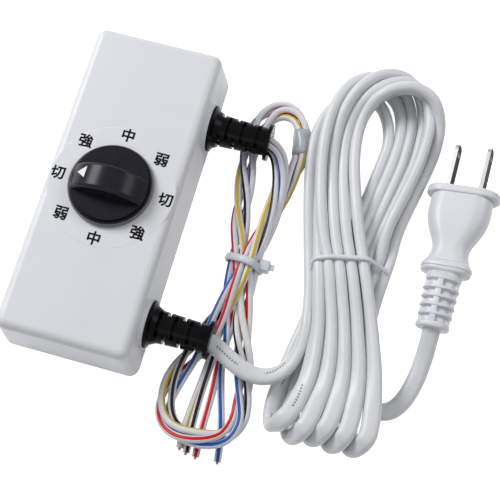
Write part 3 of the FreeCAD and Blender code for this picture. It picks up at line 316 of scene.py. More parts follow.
# A tracer's turns round its wire to the metre, and the share of each half turn that it covers.
TRACER_DRIFT = 1.6
TRACER_BAND = (0.34, 0.64)


def striped_insulation(name, stripe, start):
    """White wire insulation with two coloured tracers along it, begun at a share of a turn."""
    made = moulded(
        name, (0.72, 0.73, 0.77), (0.67, 0.68, 0.72), (0.30, 0.42), Specular_IOR_Level=0.22
    )
    tree = made.node_tree
    along, round_it = along_and_round(tree)
    drift = math_node(tree, "ADD", math_node(tree, "MULTIPLY", along, TRACER_DRIFT), start)
    turned = math_node(tree, "FRACT", math_node(tree, "ADD", round_it, drift))
    tinted(made, mask_share(tree, turned, 2.0, 0.0, TRACER_BAND), stripe)
    return made


# The flex's print: so many to the metre, where the first begins, and the share that is inked.
PRINT_DASHES = (820.0, 0.0, (0.28, 0.90))
PRINT_WORDS = (47.0, 0.0, (0.30, 0.78))
PRINT_GROUPS = (3.45, 0.24, (0.00, 0.40))
PRINT_BAND = (0.835, 0.915)
PRINT_STRENGTH = 0.75
PRINT_INK = (0.08, 0.08, 0.09)


def flex_sheath():
    """White flat flex sheath with faint plain dashes down the middle of each flat."""
    made = moulded(
        "flex white sheath", (0.69, 0.705, 0.725), (0.655, 0.67, 0.69), (0.34, 0.46), grain=1500.0
    )
    tree = made.node_tree
    along, round_it = along_and_round(tree)
    inked = mask_share(tree, round_it, 2.0, 0.0, PRINT_BAND)
    for run in (PRINT_DASHES, PRINT_WORDS, PRINT_GROUPS):
        inked = math_node(tree, "MULTIPLY", inked, mask_share(tree, along, *run))
    tinted(made, math_node(tree, "MULTIPLY", inked, PRINT_STRENGTH), PRINT_INK)
    return made


# The knob skirt's edge that is painted paler as a painted reflection: its radii and its heights.
SKIRT_REFLECTION_RADII = (15.35 * MM, 17.0 * MM)
SKIRT_REFLECTION_HEIGHTS = (0.0, 27.2 * MM)


def knob_moulding():
    """Glossy black moulding whose low skirt edge is painted paler, a painted reflection."""
    made = moulded(
        "knob black gloss", (0.006, 0.006, 0.012), (0.009, 0.009, 0.016), (0.22, 0.28),
        grain=2600.0, depth=0.03, Specular_IOR_Level=0.26, IOR=1.36,
    )
    tree = made.node_tree
    x, y, z = axes_from(tree, (0.0, KNOB_AXIS_Y * MM, 0.0))
    squares = [math_node(tree, "MULTIPLY", side, side) for side in (x, y)]
    radius = math_node(tree, "SQRT", math_node(tree, "ADD", *squares))
    edge = mask_between(tree, radius, *SKIRT_REFLECTION_RADII)
    painted_reflection = math_node(tree, "MULTIPLY", edge, mask_between(tree, z, *SKIRT_REFLECTION_HEIGHTS))
    # Painted reflection: the skirt's edge is painted a paler grey.
    tinted(made, painted_reflection, (0.17, 0.175, 0.185))
    return made


# How far a blade's broad sides, which carry painted shade, lie from its middle.
BLADE_SIDE = (0.71 * MM, 0.80 * MM)


def plated_blade():
    """Bright plated edges, and broad sides darkened with painted shade."""
    made = moulded(
        "plug blade plating", (0.44, 0.44, 0.44), (0.38, 0.38, 0.39), (0.26, 0.30),
        depth=0.0, colour_scale=12.0, Metallic=1.0, Specular_Tint=(0.30, 0.30, 0.31, 1.0),
    )
    tree = made.node_tree
    x, _, _ = axes_from(tree, (PLUG_PLACE[0] * MM, 0.0, PLUG_PLACE[2] * MM), -PLUG_LEAN)
    from_blade = math_node(
        tree, "SUBTRACT", math_node(tree, "ABSOLUTE", x), BLADE_SPACING / 2.0 * MM
    )
    side = mask_between(tree, math_node(tree, "ABSOLUTE", from_blade), *BLADE_SIDE)
    # Painted shade: the blade's broad sides are coloured a dark grey.
    tinted(made, side, (0.10, 0.10, 0.107))
    return made


# The finish of each material slot: its name, its two shades, and its roughness from least to most.

PLAIN_FINISHES = {
    "plug_white": ("plug white moulding", (0.70, 0.71, 0.745), (0.675, 0.685, 0.72), (0.34, 0.44)),
    "inlay_white": ("pointer white inlay", (0.82, 0.82, 0.82), (0.78, 0.78, 0.78), (0.35, 0.45)),
    "tie_white": ("tie white", (0.74, 0.75, 0.79), (0.70, 0.71, 0.75), (0.3, 0.45)),
    "tie_grey": ("tie grey white", (0.60, 0.64, 0.68), (0.54, 0.58, 0.62), (0.3, 0.45)),
    "switch_black": ("switch black moulding", (0.02, 0.02, 0.02), (0.03, 0.03, 0.03), (0.4, 0.55)),
    "switch_board": ("switch board brown", (0.20, 0.10, 0.05), (0.16, 0.08, 0.04), (0.45, 0.6)),
    "switch_rotor_red": ("switch rotor red", (0.45, 0.04, 0.03), (0.38, 0.03, 0.025), (0.35, 0.5)),
    "core_black": ("core black", (0.02, 0.02, 0.02), (0.03, 0.03, 0.03), (0.35, 0.5)),
    "core_white": ("core white", (0.8, 0.8, 0.8), (0.75, 0.75, 0.75), (0.35, 0.5)),
    "core_red": ("core red", (0.5, 0.04, 0.03), (0.42, 0.03, 0.025), (0.35, 0.5)),
    "core_blue": ("core blue", (0.03, 0.10, 0.42), (0.025, 0.08, 0.36), (0.35, 0.5)),
    "splice_blue": ("splice sleeve blue", (0.05, 0.16, 0.5), (0.04, 0.13, 0.42), (0.3, 0.45)),
    "wire_white": ("wire white", (0.80, 0.81, 0.82), (0.74, 0.75, 0.76), (0.3, 0.42)),
}
METAL_FINISHES = {
    "screw_steel": ("screw steel", (0.55, 0.55, 0.54), (0.48, 0.48, 0.47), (0.25, 0.4)),
    "sheet_steel": ("sheet steel", (0.50, 0.50, 0.50), (0.44, 0.44, 0.44), (0.3, 0.45)),
    "spring_steel": ("spring steel", (0.45, 0.45, 0.46), (0.38, 0.38, 0.39), (0.25, 0.35)),
    "contact_brass": ("contact brass", (0.66, 0.48, 0.20), (0.58, 0.41, 0.16), (0.25, 0.4)),
    "copper": ("copper strand", (0.50, 0.24, 0.12), (0.40, 0.18, 0.08), (0.3, 0.45)),
}
FINISHES = {slot: moulded(*look) for slot, look in PLAIN_FINISHES.items()}
FINISHES.update({slot: moulded(*look, Metallic=1.0) for slot, look in METAL_FINISHES.items()})
FINISHES.update(
    housing_white=moulded(
        "housing white moulding", (0.70, 0.715, 0.75), (0.675, 0.69, 0.725), (0.38, 0.46),
        grain=2200.0, depth=0.05,
    ),
    gland_rubber=moulded(
        "gland black rubber", (0.002, 0.002, 0.003), (0.004, 0.004, 0.005), (0.18, 0.30),
        Specular_IOR_Level=0.24, IOR=1.22,
    ),
    print_black=moulded(
        "label black print", (0.003, 0.003, 0.004), (0.005, 0.005, 0.006), (0.5, 0.6),
        Specular_IOR_Level=0.08,
    ),
    knob_black=knob_moulding(),
    flex_white=flex_sheath(),
    blade_nickel=plated_blade(),
)
SLEEVE_FILM = moulded(
    "sleeve film", (0.50, 0.53, 0.57), (0.42, 0.46, 0.50), (0.18, 0.34),
    colour_scale=220.0, Alpha=0.82,
)
TRACERS = {
    "white": striped_insulation("wire with yellow tracer", (0.62, 0.42, 0.025), 0.95),
    "black": striped_insulation("wire with black tracer", (0.002, 0.002, 0.004), 0.85),
    "red": striped_insulation("wire with red tracer", (0.55, 0.006, 0.012), 0.79),
    "blue": striped_insulation("wire with blue tracer", (0.012, 0.09, 0.40), 0.79),
}


def dress_cad_nodes():
    """Gives every piece of the frame the finish of its slot."""
    slots = {row["node"]: row["material_slot"] for row in frame["record"]["subparts"]}
    for name, node in nodes.items():
        node.data.materials.clear()
        node.data.materials.append(FINISHES[slots[name]])


# Lines and tubes.

def smooth_line(name, places, resolution):
    """Points along a smooth line led by the given places, in metres."""
    curve = bpy.data.curves.new(name, "CURVE")
    curve.dimensions = "3D"
    curve.resolution_u = resolution
    run = curve.splines.new("NURBS")
    run.points.add(len(places) - 1)
    for point, place in zip(run.points, places):
        point.co = (place[0] * MM, place[1] * MM, place[2] * MM, 1.0)
    run.order_u = 3
    run.use_endpoint_u = True
    mesh = plain_mesh(shown(name, curve))
    found = np.array([v.co for v in mesh.vertices])
    bpy.data.meshes.remove(mesh)
    return found


def carried(values, count):
    """Values given at a line's leading places, spread over its points."""
    values = np.asarray(values, float)
    last = len(values) - 2
    at = np.concatenate(((0.0,), np.arange(last) + 0.5, (last,)))
    here = np.linspace(0.0, last, count)
    if values.ndim == 1:
        return np.interp(here, at, values)
    return np.stack([np.interp(here, at, column) for column in values.T], axis=1)


def unit(vectors):
    """The same directions with a length of one."""
    return vectors / np.maximum(np.linalg.norm(vectors, axis=-1, keepdims=True), 1e-9)


def distance_along(line):
    """How far along a line each of its points is."""
    return np.concatenate(((0.0,), np.cumsum(np.linalg.norm(np.diff(line, axis=0), axis=1))))


def ringed_mesh(name, rows, closed=False):
    """A skin over rows of points, each row a ring; it ends in two caps or closes on itself."""
    count, sides = len(rows), len(rows[0])
    faces = []
    for i in range(count if closed else count - 1):
        following = (i + 1) % count
        for j in range(sides):
            k = (j + 1) % sides
            here, there = i * sides, following * sides
            faces.append((here + j, here + k, there + k, there + j))
    if not closed:
        faces.append(tuple(reversed(range(sides))))
        faces.append(tuple((count - 1) * sides + j for j in range(sides)))
    mesh = bpy.data.meshes.new(name)
    mesh.from_pydata(np.concatenate(rows).tolist(), [], faces)
    return mesh


def sweep(name, line, wide, section, finish):
    """A closed tube along a line, its section given as (across, up) pairs in metres."""
    ahead = unit(np.gradient(line, axis=0))
    across = unit(wide - ahead * np.sum(wide * ahead, axis=1, keepdims=True))
    normal = np.cross(ahead, across)
    rings = (
        line[:, None, :]
        + section[None, :, 0, None] * across[:, None, :]
        + section[None, :, 1, None] * normal[:, None, :]
    )
    mesh = ringed_mesh(name, rings)
    flow = mesh.uv_layers.new(name="flow")
    along = distance_along(line)
    sides = len(section)
    values = []
    for i in range(len(line) - 1):
        for j in range(sides):
            for step, side in ((0, j), (0, j + 1), (1, j + 1), (1, j)):
                values += (along[i + step], side / sides)
    values += [0.0] * (2 * len(mesh.loops) - len(values))
    flow.data.foreach_set("uv", values)
    return finished(name, mesh, finish)


def round_section(radius, sides):
    """A round wire's section."""
    turns = np.arange(sides) * 2.0 * math.pi / sides
    return np.stack((radius * np.cos(turns), radius * np.sin(turns)), axis=1)


def flat_section(width, thick, steps=7):
    """A flat flex's section: two straight flats joined by half rounds."""
    radius = thick / 2.0
    reach = width / 2.0 - radius
    found = []
    for side in (1.0, -1.0):
        for i in range(steps):
            turn = -math.pi / 2.0 + math.pi * i / (steps - 1)
            found.append((side * (reach + radius * math.cos(turn)), side * radius * math.sin(turn)))
        found.append((0.0, side * radius))
    return np.array(found)


# The mains flex: one line from its gland through the hank to the plug.
# Places are (x, y, z, lean) in millimetres and degrees: 0 lies flat, 90 stands on edge.

LEAD = (
    (47.8, -45.4, 11.5, 0), (51.5, -46.0, 11.5, 0), (55.5, -47.8, 11.2, 0), (60.5, -50.4, 10.6, 0),
    (66.0, -52.7, 9.7, 5), (72.0, -53.2, 8.7, 15), (77.6, -51.0, 8.0, 30), (81.8, -46.0, 8.0, 50),
    (83.8, -39.0, 8.6, 70), (84.0, -32.5, 9.2, 85), (83.2, -26.5, 9.2, 90),
)

# Each stretch of a turn, for the six turns in order: up the left side and round the top,
# down the right side, underneath to the lower end, the fold there, and back over the front.
UP = (
    ((81.2, -15.1, 5.6), (78.0, -3.9, 3.8), (74.5, 8.7, 3.5), (71.3, 20.6, 3.5),
     (68.3, 33.8, 3.5), (66.6, 47.1, 3.5), (68.6, 58.9, 3.5), (75.0, 66.6, 3.5),
     (82.1, 69.4, 3.5), (89.3, 67.2, 3.5), (94.2, 59.0, 3.5), (96.0, 50.1, 3.5)),
    ((81.7, -4.5, 9.4), (78.8, 7.0, 6.5), (75.7, 19.7, 4.0), (72.1, 34.8, 3.6),
     (70.5, 47.0, 5.0), (72.2, 57.1, 8.5), (76.5, 65.7, 9.0), (83.7, 72.0, 6.5),
     (91.1, 73.1, 3.8), (96.7, 67.4, 3.5), (99.3, 59.1, 3.5), (99.8, 51.2, 3.5)),
    ((85.5, -3.9, 10.3), (81.4, 4.0, 10.3), (77.5, 14.7, 10.3), (72.9, 32.3, 10.3),
     (70.8, 46.5, 10.8), (71.6, 60.0, 12.5), (75.4, 70.6, 10.5), (82.9, 77.6, 6.0),
     (92.3, 78.5, 3.6), (99.2, 72.2, 3.5), (103.1, 61.9, 3.5), (103.6, 52.2, 3.5)),
    ((89.3, -2.9, 10.3), (85.8, 5.3, 10.3), (81.8, 16.8, 9.5), (76.7, 35.0, 7.5),
     (74.9, 48.8, 9.0), (76.0, 59.4, 12.5), (79.7, 68.2, 14.5), (86.4, 76.1, 13.0),
     (95.4, 79.4, 9.0), (102.8, 75.6, 5.5), (107.3, 64.7, 3.8), (107.8, 53.3, 3.5)),
    ((93.5, -1.7, 10.3), (90.0, 6.4, 10.3), (86.0, 17.6, 10.0), (80.7, 36.5, 6.5),
     (78.9, 50.3, 8.0), (80.1, 59.2, 10.5), (83.8, 66.6, 13.0), (90.3, 73.0, 13.0),
     (98.6, 76.0, 12.0), (105.8, 71.9, 10.5), (109.9, 61.5, 10.3), (110.0, 51.0, 10.3)),
    ((98.0, -0.5, 10.3), (94.7, 7.8, 10.3), (90.6, 18.7, 10.5), (84.7, 37.9, 8.5),
     (82.9, 51.8, 8.5), (83.9, 59.8, 10.5), (87.6, 65.8, 14.5), (93.6, 69.9, 17.0),
     (101.8, 71.9, 17.0), (109.3, 69.3, 15.0), (113.8, 62.3, 10.0), (114.4, 52.9, 6.5)),
)
RIGHT = (
    ((94.9, 41.0, 3.5), (93.3, 26.6, 3.5), (90.9, 12.3, 3.5), (87.2, -1.3, 3.5), (84.2, -14.0, 3.5)),
    ((99.1, 42.2, 3.5), (97.0, 27.7, 3.5), (94.6, 13.3, 3.5), (91.4, -0.3, 3.5), (88.8, -12.8, 3.5)),
    ((103.3, 43.3, 3.5), (101.0, 28.7, 3.5), (98.4, 14.2, 3.5), (95.6, 0.8, 3.5), (93.4, -11.7, 3.5)),
    ((107.5, 44.4, 3.5), (104.9, 29.8, 3.5), (102.0, 15.3, 3.5), (99.8, 1.8, 3.5), (98.0, -10.6, 3.5)),
    ((109.3, 42.4, 9.8), (106.6, 28.6, 9.6), (103.6, 15.1, 8.5), (104.0, 2.8, 4.6), (102.6, -9.5, 3.5)),
    ((113.5, 45.7, 4.5), (110.6, 31.2, 3.8), (107.9, 16.7, 3.5), (108.0, 3.8, 3.5), (106.8, -8.4, 3.5)),
)
BACK = (
    ((82.4, -28.5, 3.5), (80.8, -43.4, 3.4), (79.7, -55.6, 3.0)),
    ((86.8, -27.3, 3.5), (86.3, -41.9, 3.4), (86.4, -56.1, 3.0)),
    ((91.6, -26.0, 3.5), (91.9, -40.4, 3.4), (93.0, -55.0, 3.0)),
    ((96.4, -24.7, 3.5), (97.6, -38.8, 3.4), (100.2, -54.6, 3.0)),
    ((101.4, -23.4, 3.5), (102.8, -37.3, 3.4), (107.0, -54.2, 3.0)),
)
FOLD = (
    ((79.4, -61.6, 2.6), (80.4, -67.3, 2.6), (82.2, -69.6, 8.5), (84.4, -67.3, 15.4), (86.3, -64.2, 15.2)),
    ((86.5, -63.1, 2.6), (87.6, -69.3, 2.6), (89.9, -71.2, 8.5), (92.4, -68.8, 15.4), (93.9, -65.2, 15.2)),
    ((93.8, -61.8, 2.6), (95.0, -68.0, 2.6), (97.3, -69.9, 8.5), (99.8, -67.3, 15.4), (101.2, -63.7, 15.2)),
    ((101.1, -62.4, 2.6), (102.4, -68.6, 2.6), (104.7, -70.4, 8.5), (107.2, -67.8, 15.4),
     (108.2, -64.2, 15.2)),
    ((108.4, -61.6, 2.6), (109.8, -67.9, 2.6), (112.2, -69.8, 8.5), (114.7, -67.3, 15.4),
     (115.9, -63.7, 15.2)),
)
FRONT = (
    ((88.1, -58.7, 14.0), (89.9, -48.6, 12.6), (88.2, -30.8, 11.0), (85.6, -19.4, 10.6)),
    ((95.0, -57.9, 14.0), (96.0, -46.8, 12.6), (92.9, -29.4, 11.0), (89.7, -18.3, 10.4)),
    ((101.8, -57.1, 14.0), (101.4, -45.3, 12.6), (97.3, -28.2, 11.0), (94.0, -17.1, 10.4)),
    ((108.3, -56.8, 14.0), (106.9, -43.7, 12.6), (102.0, -26.8, 11.0), (98.6, -15.6, 10.4)),
    ((115.1, -55.1, 14.0), (112.4, -42.0, 12.6), (107.2, -25.2, 11.0), (103.4, -14.2, 10.4)),
)
TAIL = (
    (106.4, -22.0, 3.5, 90), (107.3, -32.5, 3.5, 90), (109.0, -42.2, 3.4, 70), (112.0, -49.5, 3.1, 40),
    (117.1, -53.2, 2.6, 10), (122.3, -51.3, 2.4, 0), (125.9, -45.9, 2.4, 0), (128.0, -38.3, 2.4, 0),
    (129.0, -30.4, 3.6, 0), (129.1, -24.0, 6.2, 0), (129.0, -19.0, 8.6, 0), (128.9, -12.6, 9.3, 0),
)
ON_EDGE = 90
BACK_LEAN = (84, 50, 8)
FOLD_LEAN = (4, 0, 0, 0, 4)
FRONT_LEAN = (6, 34, 60, 78)

# Both cords lie this much further back than their places say, in millimetres.
SET_BACK = 0.6

FLEX_WIDTH = 6.8 * MM
FLEX_THICK = 4.4 * MM
FLEX_STEPS = 8

# Where the flex's way is steeper than this, its level direction is kept from the point before.
STEEP_WAY = 0.35

# A tie: its middle in millimetres, the way that the cords run under it, its reach to each side,
# its width, its thickness, and how far it leans for its height.
HANK_TIE = ((94.4, HANK_TIE_Y), (-0.22, 1.0), 14.4 * MM, 1.5 * MM, 0.8 * MM, 0.45)
FAN_TIE = ((54.4, FAN_TIE_Y), (0.16, 1.0), 11.0 * MM, 3.0 * MM, 0.9 * MM, 0.0)

# The cords' rise over their ties: where it peaks in the hank, how high it is in the hank and the
# fan lead, how far it spreads along y, and the x left of which there is none.
HANK_RISE_Y = HANK_TIE_Y - 3.5
HANK_RISE = 0.8 * MM
FAN_RISE = 0.9 * MM
RISE_SPREAD = 9.0 * MM
RISE_FROM_X = 45.0 * MM


def leaning(places, leans):
    """Places with a lean added to each."""
    return [(*place, lean) for place, lean in zip(places, leans)]


def mains_route():
    """The lead, six turns of the hank with a fold between each pair, and the tail."""
    route = list(LEAD)
    for turn, (up, right) in enumerate(zip(UP, RIGHT)):
        if turn:
            route += leaning(FRONT[turn - 1], FRONT_LEAN)
        route += leaning(up + right, (ON_EDGE,) * len(up + right))
        if turn < len(BACK):
            route += leaning(BACK[turn], BACK_LEAN)
            route += leaning(FOLD[turn], FOLD_LEAN)
    return [(x, y + SET_BACK, z, lean) for x, y, z, lean in route + list(TAIL)]


def wide_way(places, count):
    """The direction of the flex's width at each point of its line."""
    corners = np.array(places, float)
    ahead = unit(np.gradient(corners[:, :3], axis=0))
    found = []
    before = None
    level = None
    for way, lean in zip(ahead, corners[:, 3]):
        if np.linalg.norm(way[:2]) > STEEP_WAY or level is None:
            level = unit(np.array((way[1], -way[0], 0.0)))
        angle = math.radians(lean)
        wide = math.cos(angle) * level + math.sin(angle) * UP_WAY
        if before is not None and np.dot(wide, before) < 0.0:
            wide = -wide
        before = wide
        found.append(wide)
    return unit(carried(found, count))


def lifted_over(line, tie_y, thick):
    """Raises a lying line where a tie passes under it."""
    rise = thick * np.exp(-(((line[:, 1] - tie_y * MM) / RISE_SPREAD) ** 2))
    line = line.copy()
    line[:, 2] += np.where(line[:, 0] > RISE_FROM_X, rise, 0.0)
    return line


def make_mains_flex():
    """The flex with its hank's tie and its plug."""
    places = mains_route()
    line = smooth_line("mains flex line", places, FLEX_STEPS)
    line = lifted_over(line, HANK_RISE_Y, HANK_RISE)
    section = flat_section(FLEX_WIDTH, FLEX_THICK)
    flex = sweep("mains_flex", line, wide_way(places, len(line)), section, FINISHES["flex_white"])
    set_on_housing(flex)
    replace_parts(flex, "mains_cord_lead", "mains_cord_hank", "mains_cord_tail")
    tie = wrapped_band("hank_tie_cord", [flex], "tie_white", *HANK_TIE)
    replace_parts(tie, "hank_tie")
    plug = mould_plug()


# Shapes that repeat are made by node trees with named inputs.

def tree_with(name, wanted, takes_mesh):
    """A node tree with the wanted inputs, and the identifier of each."""
    tree = bpy.data.node_groups.new(name, "GeometryNodeTree")
    sockets = tree.interface
    if takes_mesh:
        sockets.new_socket("Geometry", in_out="INPUT", socket_type="NodeSocketGeometry")
    sockets.new_socket("Geometry", in_out="OUTPUT", socket_type="NodeSocketGeometry")
    inputs = {}
    for label, kind in wanted:
        socket = sockets.new_socket(label, in_out="INPUT", socket_type="NodeSocket" + kind)
        inputs[label] = socket.identifier
    return tree, inputs


def end_tree(tree, given, laid):
    """Makes laid-out copies real, and gives them the finish that was handed in."""
    real = tree.nodes.new("GeometryNodeRealizeInstances")
    coat = tree.nodes.new("GeometryNodeSetMaterial")
    result = tree.nodes.new("NodeGroupOutput")
    tree.links.new(laid.outputs["Instances"], real.inputs["Geometry"])
    tree.links.new(real.outputs["Geometry"], coat.inputs["Geometry"])
    tree.links.new(given.outputs["Finish"], coat.inputs["Material"])
    tree.links.new(coat.outputs["Geometry"], result.inputs["Geometry"])


def made_by(tree, inputs, mesh, values):
    """The plain mesh that a tree makes of a mesh with the given values."""
    holder = shown(tree.name, mesh)
    maker = holder.modifiers.new(tree.name, "NODES")
    maker.node_group = tree
    for label, value in values.items():
        maker[inputs[label]] = value
    return plain_mesh(holder)


# The plug: the frame's face and palm with a rimmed collar and a ringed, webbed strain relief.
# Sections are (distance behind the face, width, thickness) in millimetres.

# Where the frame's plug body is cut off, and the shapes that follow.
PLUG_CUT = 30.4
COLLAR = (
    (30.0, 17.6, 10.6), (30.8, 18.8, 11.4), (31.4, 19.6, 11.9), (31.9, 19.9, 12.1),
    (32.7, 19.9, 12.1), (32.9, 19.5, 11.8), (33.0, 19.0, 11.3), (33.25, 19.0, 11.3),
    (33.35, 19.4, 11.7), (34.0, 19.3, 11.6), (34.4, 18.6, 11.0), (34.7, 15.6, 10.4),
    (34.9, 14.0, 10.2), (37.0, 13.7, 10.2), (37.5, 13.4, 10.0), (37.7, 12.8, 9.4), (37.9, 10.6, 6.8),
)
RELIEF_CORE = ((37.4, 10.6, 6.6), (47.0, 10.0, 6.4), (56.2, 9.4, 6.2))
RELIEF_RING = (
    (-0.75, 10.6, 6.6), (-0.62, 13.2, 9.4), (-0.42, 13.8, 10.0), (-0.15, 14.0, 10.2),
    (0.15, 14.0, 10.2), (0.42, 13.8, 10.0), (0.62, 13.2, 9.4), (0.75, 10.6, 6.6),
)
RELIEF_END = (
    (53.9, 10.4, 6.8), (54.3, 12.2, 9.2), (54.6, 12.8, 9.8), (55.2, 13.0, 10.0),
    (55.9, 12.9, 9.9), (56.3, 12.3, 9.3), (56.4, 11.4, 8.4),
)

# The rings between the collar and the end: the first one's place, their pitch, their number, and
# how much narrower each is; then the webs that join them, with their width, edge round and ends.
RING_FIRST = 40.9
RING_PITCH = 3.4
RING_COUNT = 4
RING_NARROWING = 0.018
WEB_WIDTH = 2.3
WEB_EDGE = 0.25
WEB_RUNS = ((37.4, 13.0, 9.5), (55.0, 11.9, 8.9))

LOFT_STEPS = 10
SAME_POINT = 0.002 * MM
SHARP_FROM = math.radians(35.0)


def lofted(sections):
    """A closed solid through sections with half-round ends, back from the face along -y."""
    rows = [
        np.array([(x, -back, z) for x, z in flat_section(width, thick, LOFT_STEPS)]) * MM
        for back, width, thick in sections
    ]
    return ringed_mesh("plug part", rows)


def relief_webs():
    """Two tapering bars that cross inside the relief, and show as a web on each of its four sides."""
    webs = bmesh.new()
    for across in (True, False):
        ends = []
        for back, wide, thick in WEB_RUNS:
            x = (wide if across else WEB_WIDTH) / 2.0
            z = (WEB_WIDTH if across else thick) / 2.0
            corners = ((-x, -z), (x, -z), (x, z), (-x, z))
            ends.append([webs.verts.new(Vector((u, -back, w)) * MM) for u, w in corners])
        near, far = ends
        for j in range(4):
            k = (j + 1) % 4
            webs.faces.new((near[j], near[k], far[k], far[j]))
        webs.faces.new(near[::-1])
        webs.faces.new(far)
    bmesh.ops.bevel(
        webs, geom=webs.edges[:], offset=WEB_EDGE * MM, segments=2, profile=0.5, affect="EDGES"
    )
    return mesh_of(webs, "plug part")


def ring_tree():
    """The relief's rings: one ring set out in a row and narrowed step by step."""
    wanted = (("Count", "Int"), ("Pitch", "Float"), ("Narrowing", "Float"), ("Finish", "Material"))
    tree, inputs = tree_with("relief rings", wanted, takes_mesh=True)
    new, link = tree.nodes.new, tree.links.new
    given = new("NodeGroupInput")
    step = new("ShaderNodeCombineXYZ")
    link(math_node(tree, "MULTIPLY", given.outputs["Pitch"], -1.0), step.inputs["Y"])
    row = new("GeometryNodeMeshLine")
    link(given.outputs["Count"], row.inputs["Count"])
    link(step.outputs[0], row.inputs["Offset"])
    number = new("GeometryNodeInputIndex").outputs[0]
    narrower = math_node(tree, "MULTIPLY", number, given.outputs["Narrowing"])
    left = math_node(tree, "SUBTRACT", 1.0, narrower)
    size = new("ShaderNodeCombineXYZ")
    size.inputs["Y"].default_value = 1.0
    link(left, size.inputs["X"])
    link(left, size.inputs["Z"])
    laid = new("GeometryNodeInstanceOnPoints")
    link(row.outputs["Mesh"], laid.inputs["Points"])
    link(given.outputs["Geometry"], laid.inputs["Instance"])
    link(size.outputs[0], laid.inputs["Scale"])
    end_tree(tree, given, laid)
    return tree, inputs


def relief_rings():
    """The row of rings as one mesh, still in the plug's own frame."""
    tree, inputs = ring_tree()
    rings = made_by(tree, inputs, lofted(RELIEF_RING), {
        "Count": RING_COUNT, "Pitch": RING_PITCH * MM, "Narrowing": RING_NARROWING,
        "Finish": FINISHES["plug_white"],
    })
    rings.transform(Matrix.Translation((0.0, -RING_FIRST * MM, 0.0)))
    return rings


def plug_front():
    """The frame's plug body, cut off square behind its palm and closed there."""
    front = bmesh.new()
    front.from_mesh(nodes["plug_body"].data)
    bmesh.ops.remove_doubles(front, verts=front.verts, dist=SAME_POINT)
    cutting = bmesh.ops.bisect_plane(
        front, geom=front.verts[:] + front.edges[:] + front.faces[:],
        plane_co=Vector((0.0, PLUG_PLACE[1] - PLUG_CUT, 0.0)) * MM, plane_no=(0.0, -1.0, 0.0),
        clear_outer=True,
    )
    rim = [part for part in cutting["geom_cut"] if isinstance(part, bmesh.types.BMEdge)]
    bmesh.ops.edgeloop_fill(front, edges=rim)
    bmesh.ops.recalc_face_normals(front, faces=front.faces)
    return mesh_of(front, "plug part")


def mould_plug():
    """The whole plug body as one piece, laid where the frame's plug lies."""
    place = Matrix.Translation(Vector(PLUG_PLACE) * MM) @ Matrix.Rotation(-PLUG_LEAN, 4, "Y")
    parts = [lofted(COLLAR), lofted(RELIEF_CORE), relief_rings(), lofted(RELIEF_END), relief_webs()]
    for part in parts:
        part.transform(place)
    body = joined(parts)
    bmesh.ops.recalc_face_normals(body, faces=body.faces)
    body = joined([mesh_of(body, "plug part"), plug_front()])
    for edge in body.edges:
        edge.smooth = len(edge.link_faces) == 2 and edge.calc_face_angle(0.0) < SHARP_FROM
    plug = finished("plug_moulding", mesh_of(body, "plug_moulding"), FINISHES["plug_white"])
    set_on_housing(plug)
    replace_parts(plug, "plug_body")
    return plug


# Ties, drawn tight round what they hold.

# A band's section, as shares of its width and its thickness.
BAND_SECTION = ((-0.5, 0.0), (-0.5, 0.6), (-0.38, 1.0), (0.38, 1.0), (0.5, 0.6), (0.5, 0.0))

# How many points a band has round it, how far it stays clear of what it holds and feels for it
# past its own edges, and the share of its thickness that it keeps free over the floor.
BAND_POINTS = 96
BAND_CLEAR = 0.15 * MM
BAND_FEELS = 0.6 * MM
BAND_UNDER = 0.9
FLOOR_CLEAR = 0.02 * MM

# The head of the fan lead's tie in millimetres: each block's size, its shift and its edge round.
HEAD_PLACE = (62.0, FAN_TIE_Y + 0.6, 4.6)
HEAD_BLOCKS = (
    ((4.2, 4.6, 5.0), (0.0, 0.0, 0.0), 0.7),
    ((2.6, 2.4, 1.2), (2.6, 0.0, 1.0), 0.3),
)


def hull(points):
    """The outline of the tight loop round a set of flat points, anticlockwise."""
    points = sorted(map(tuple, points))
    found = []
    for run in (points, points[::-1]):
        side = []
        for point in run:
            while len(side) > 1:
                (ax, ay), (bx, by) = side[-2], side[-1]
                if (bx - ax) * (point[1] - ay) - (by - ay) * (point[0] - ax) > 0.0:
                    break
                side.pop()
            side.append(point)
        found += side[:-1]
    return np.array(found)


def evenly(loop, count):
    """A closed outline's points, moved to even steps along it."""
    closed = np.vstack((loop, loop[:1]))
    along = distance_along(closed)
    at = np.linspace(0.0, along[-1], count, endpoint=False)
    return np.stack([np.interp(at, along, column) for column in closed.T], axis=1)


def tight_loop(points, count):
    """The tight loop round flat points, at even steps and with its corners eased."""
    loop = evenly(hull(points), count)
    for _ in range(3):
        loop = (np.roll(loop, 1, axis=0) + loop * 2.0 + np.roll(loop, -1, axis=0)) / 4.0
    return loop


def wrapped_band(name, held, finish, middle, ahead, reach, width, thick, lean):
    """A band round whatever lies within reach of its middle, leaning ahead by its height."""
    ahead = unit(np.array((*ahead, 0.0)))
    across = np.cross(ahead, UP_WAY)
    centre = np.array((*middle, 0.0)) * MM
    found = []
    for piece in held:
        points = np.array([v.co for v in piece.data.vertices]) - centre
        level = points @ across
        near = (np.abs(points @ ahead) < width / 2.0 + BAND_FEELS) & (np.abs(level) < reach)
        found += list(zip(level[near], points[near][:, 2]))
    loop = tight_loop(found, BAND_POINTS)
    along = unit(np.roll(loop, -1, axis=0) - np.roll(loop, 1, axis=0))
    out = np.stack((along[:, 1], -along[:, 0]), axis=1)
    rows = []
    for share, height in BAND_SECTION:
        ring = loop + out * (BAND_CLEAR + height * thick)
        least = FLOOR_CLEAR + (1.0 - height) * thick * BAND_UNDER
        ring[:, 1] = np.maximum(ring[:, 1], least)
        place = centre + ring[:, :1] * across + ring[:, 1:] * UP_WAY
        ahead_by = share * width + lean * (ring[:, 1:] - loop[:, 1].mean())
        rows.append(place + ahead * ahead_by)
    band = finished(name, ringed_mesh(name, rows, closed=True), FINISHES[finish])
    return set_on_housing(band)


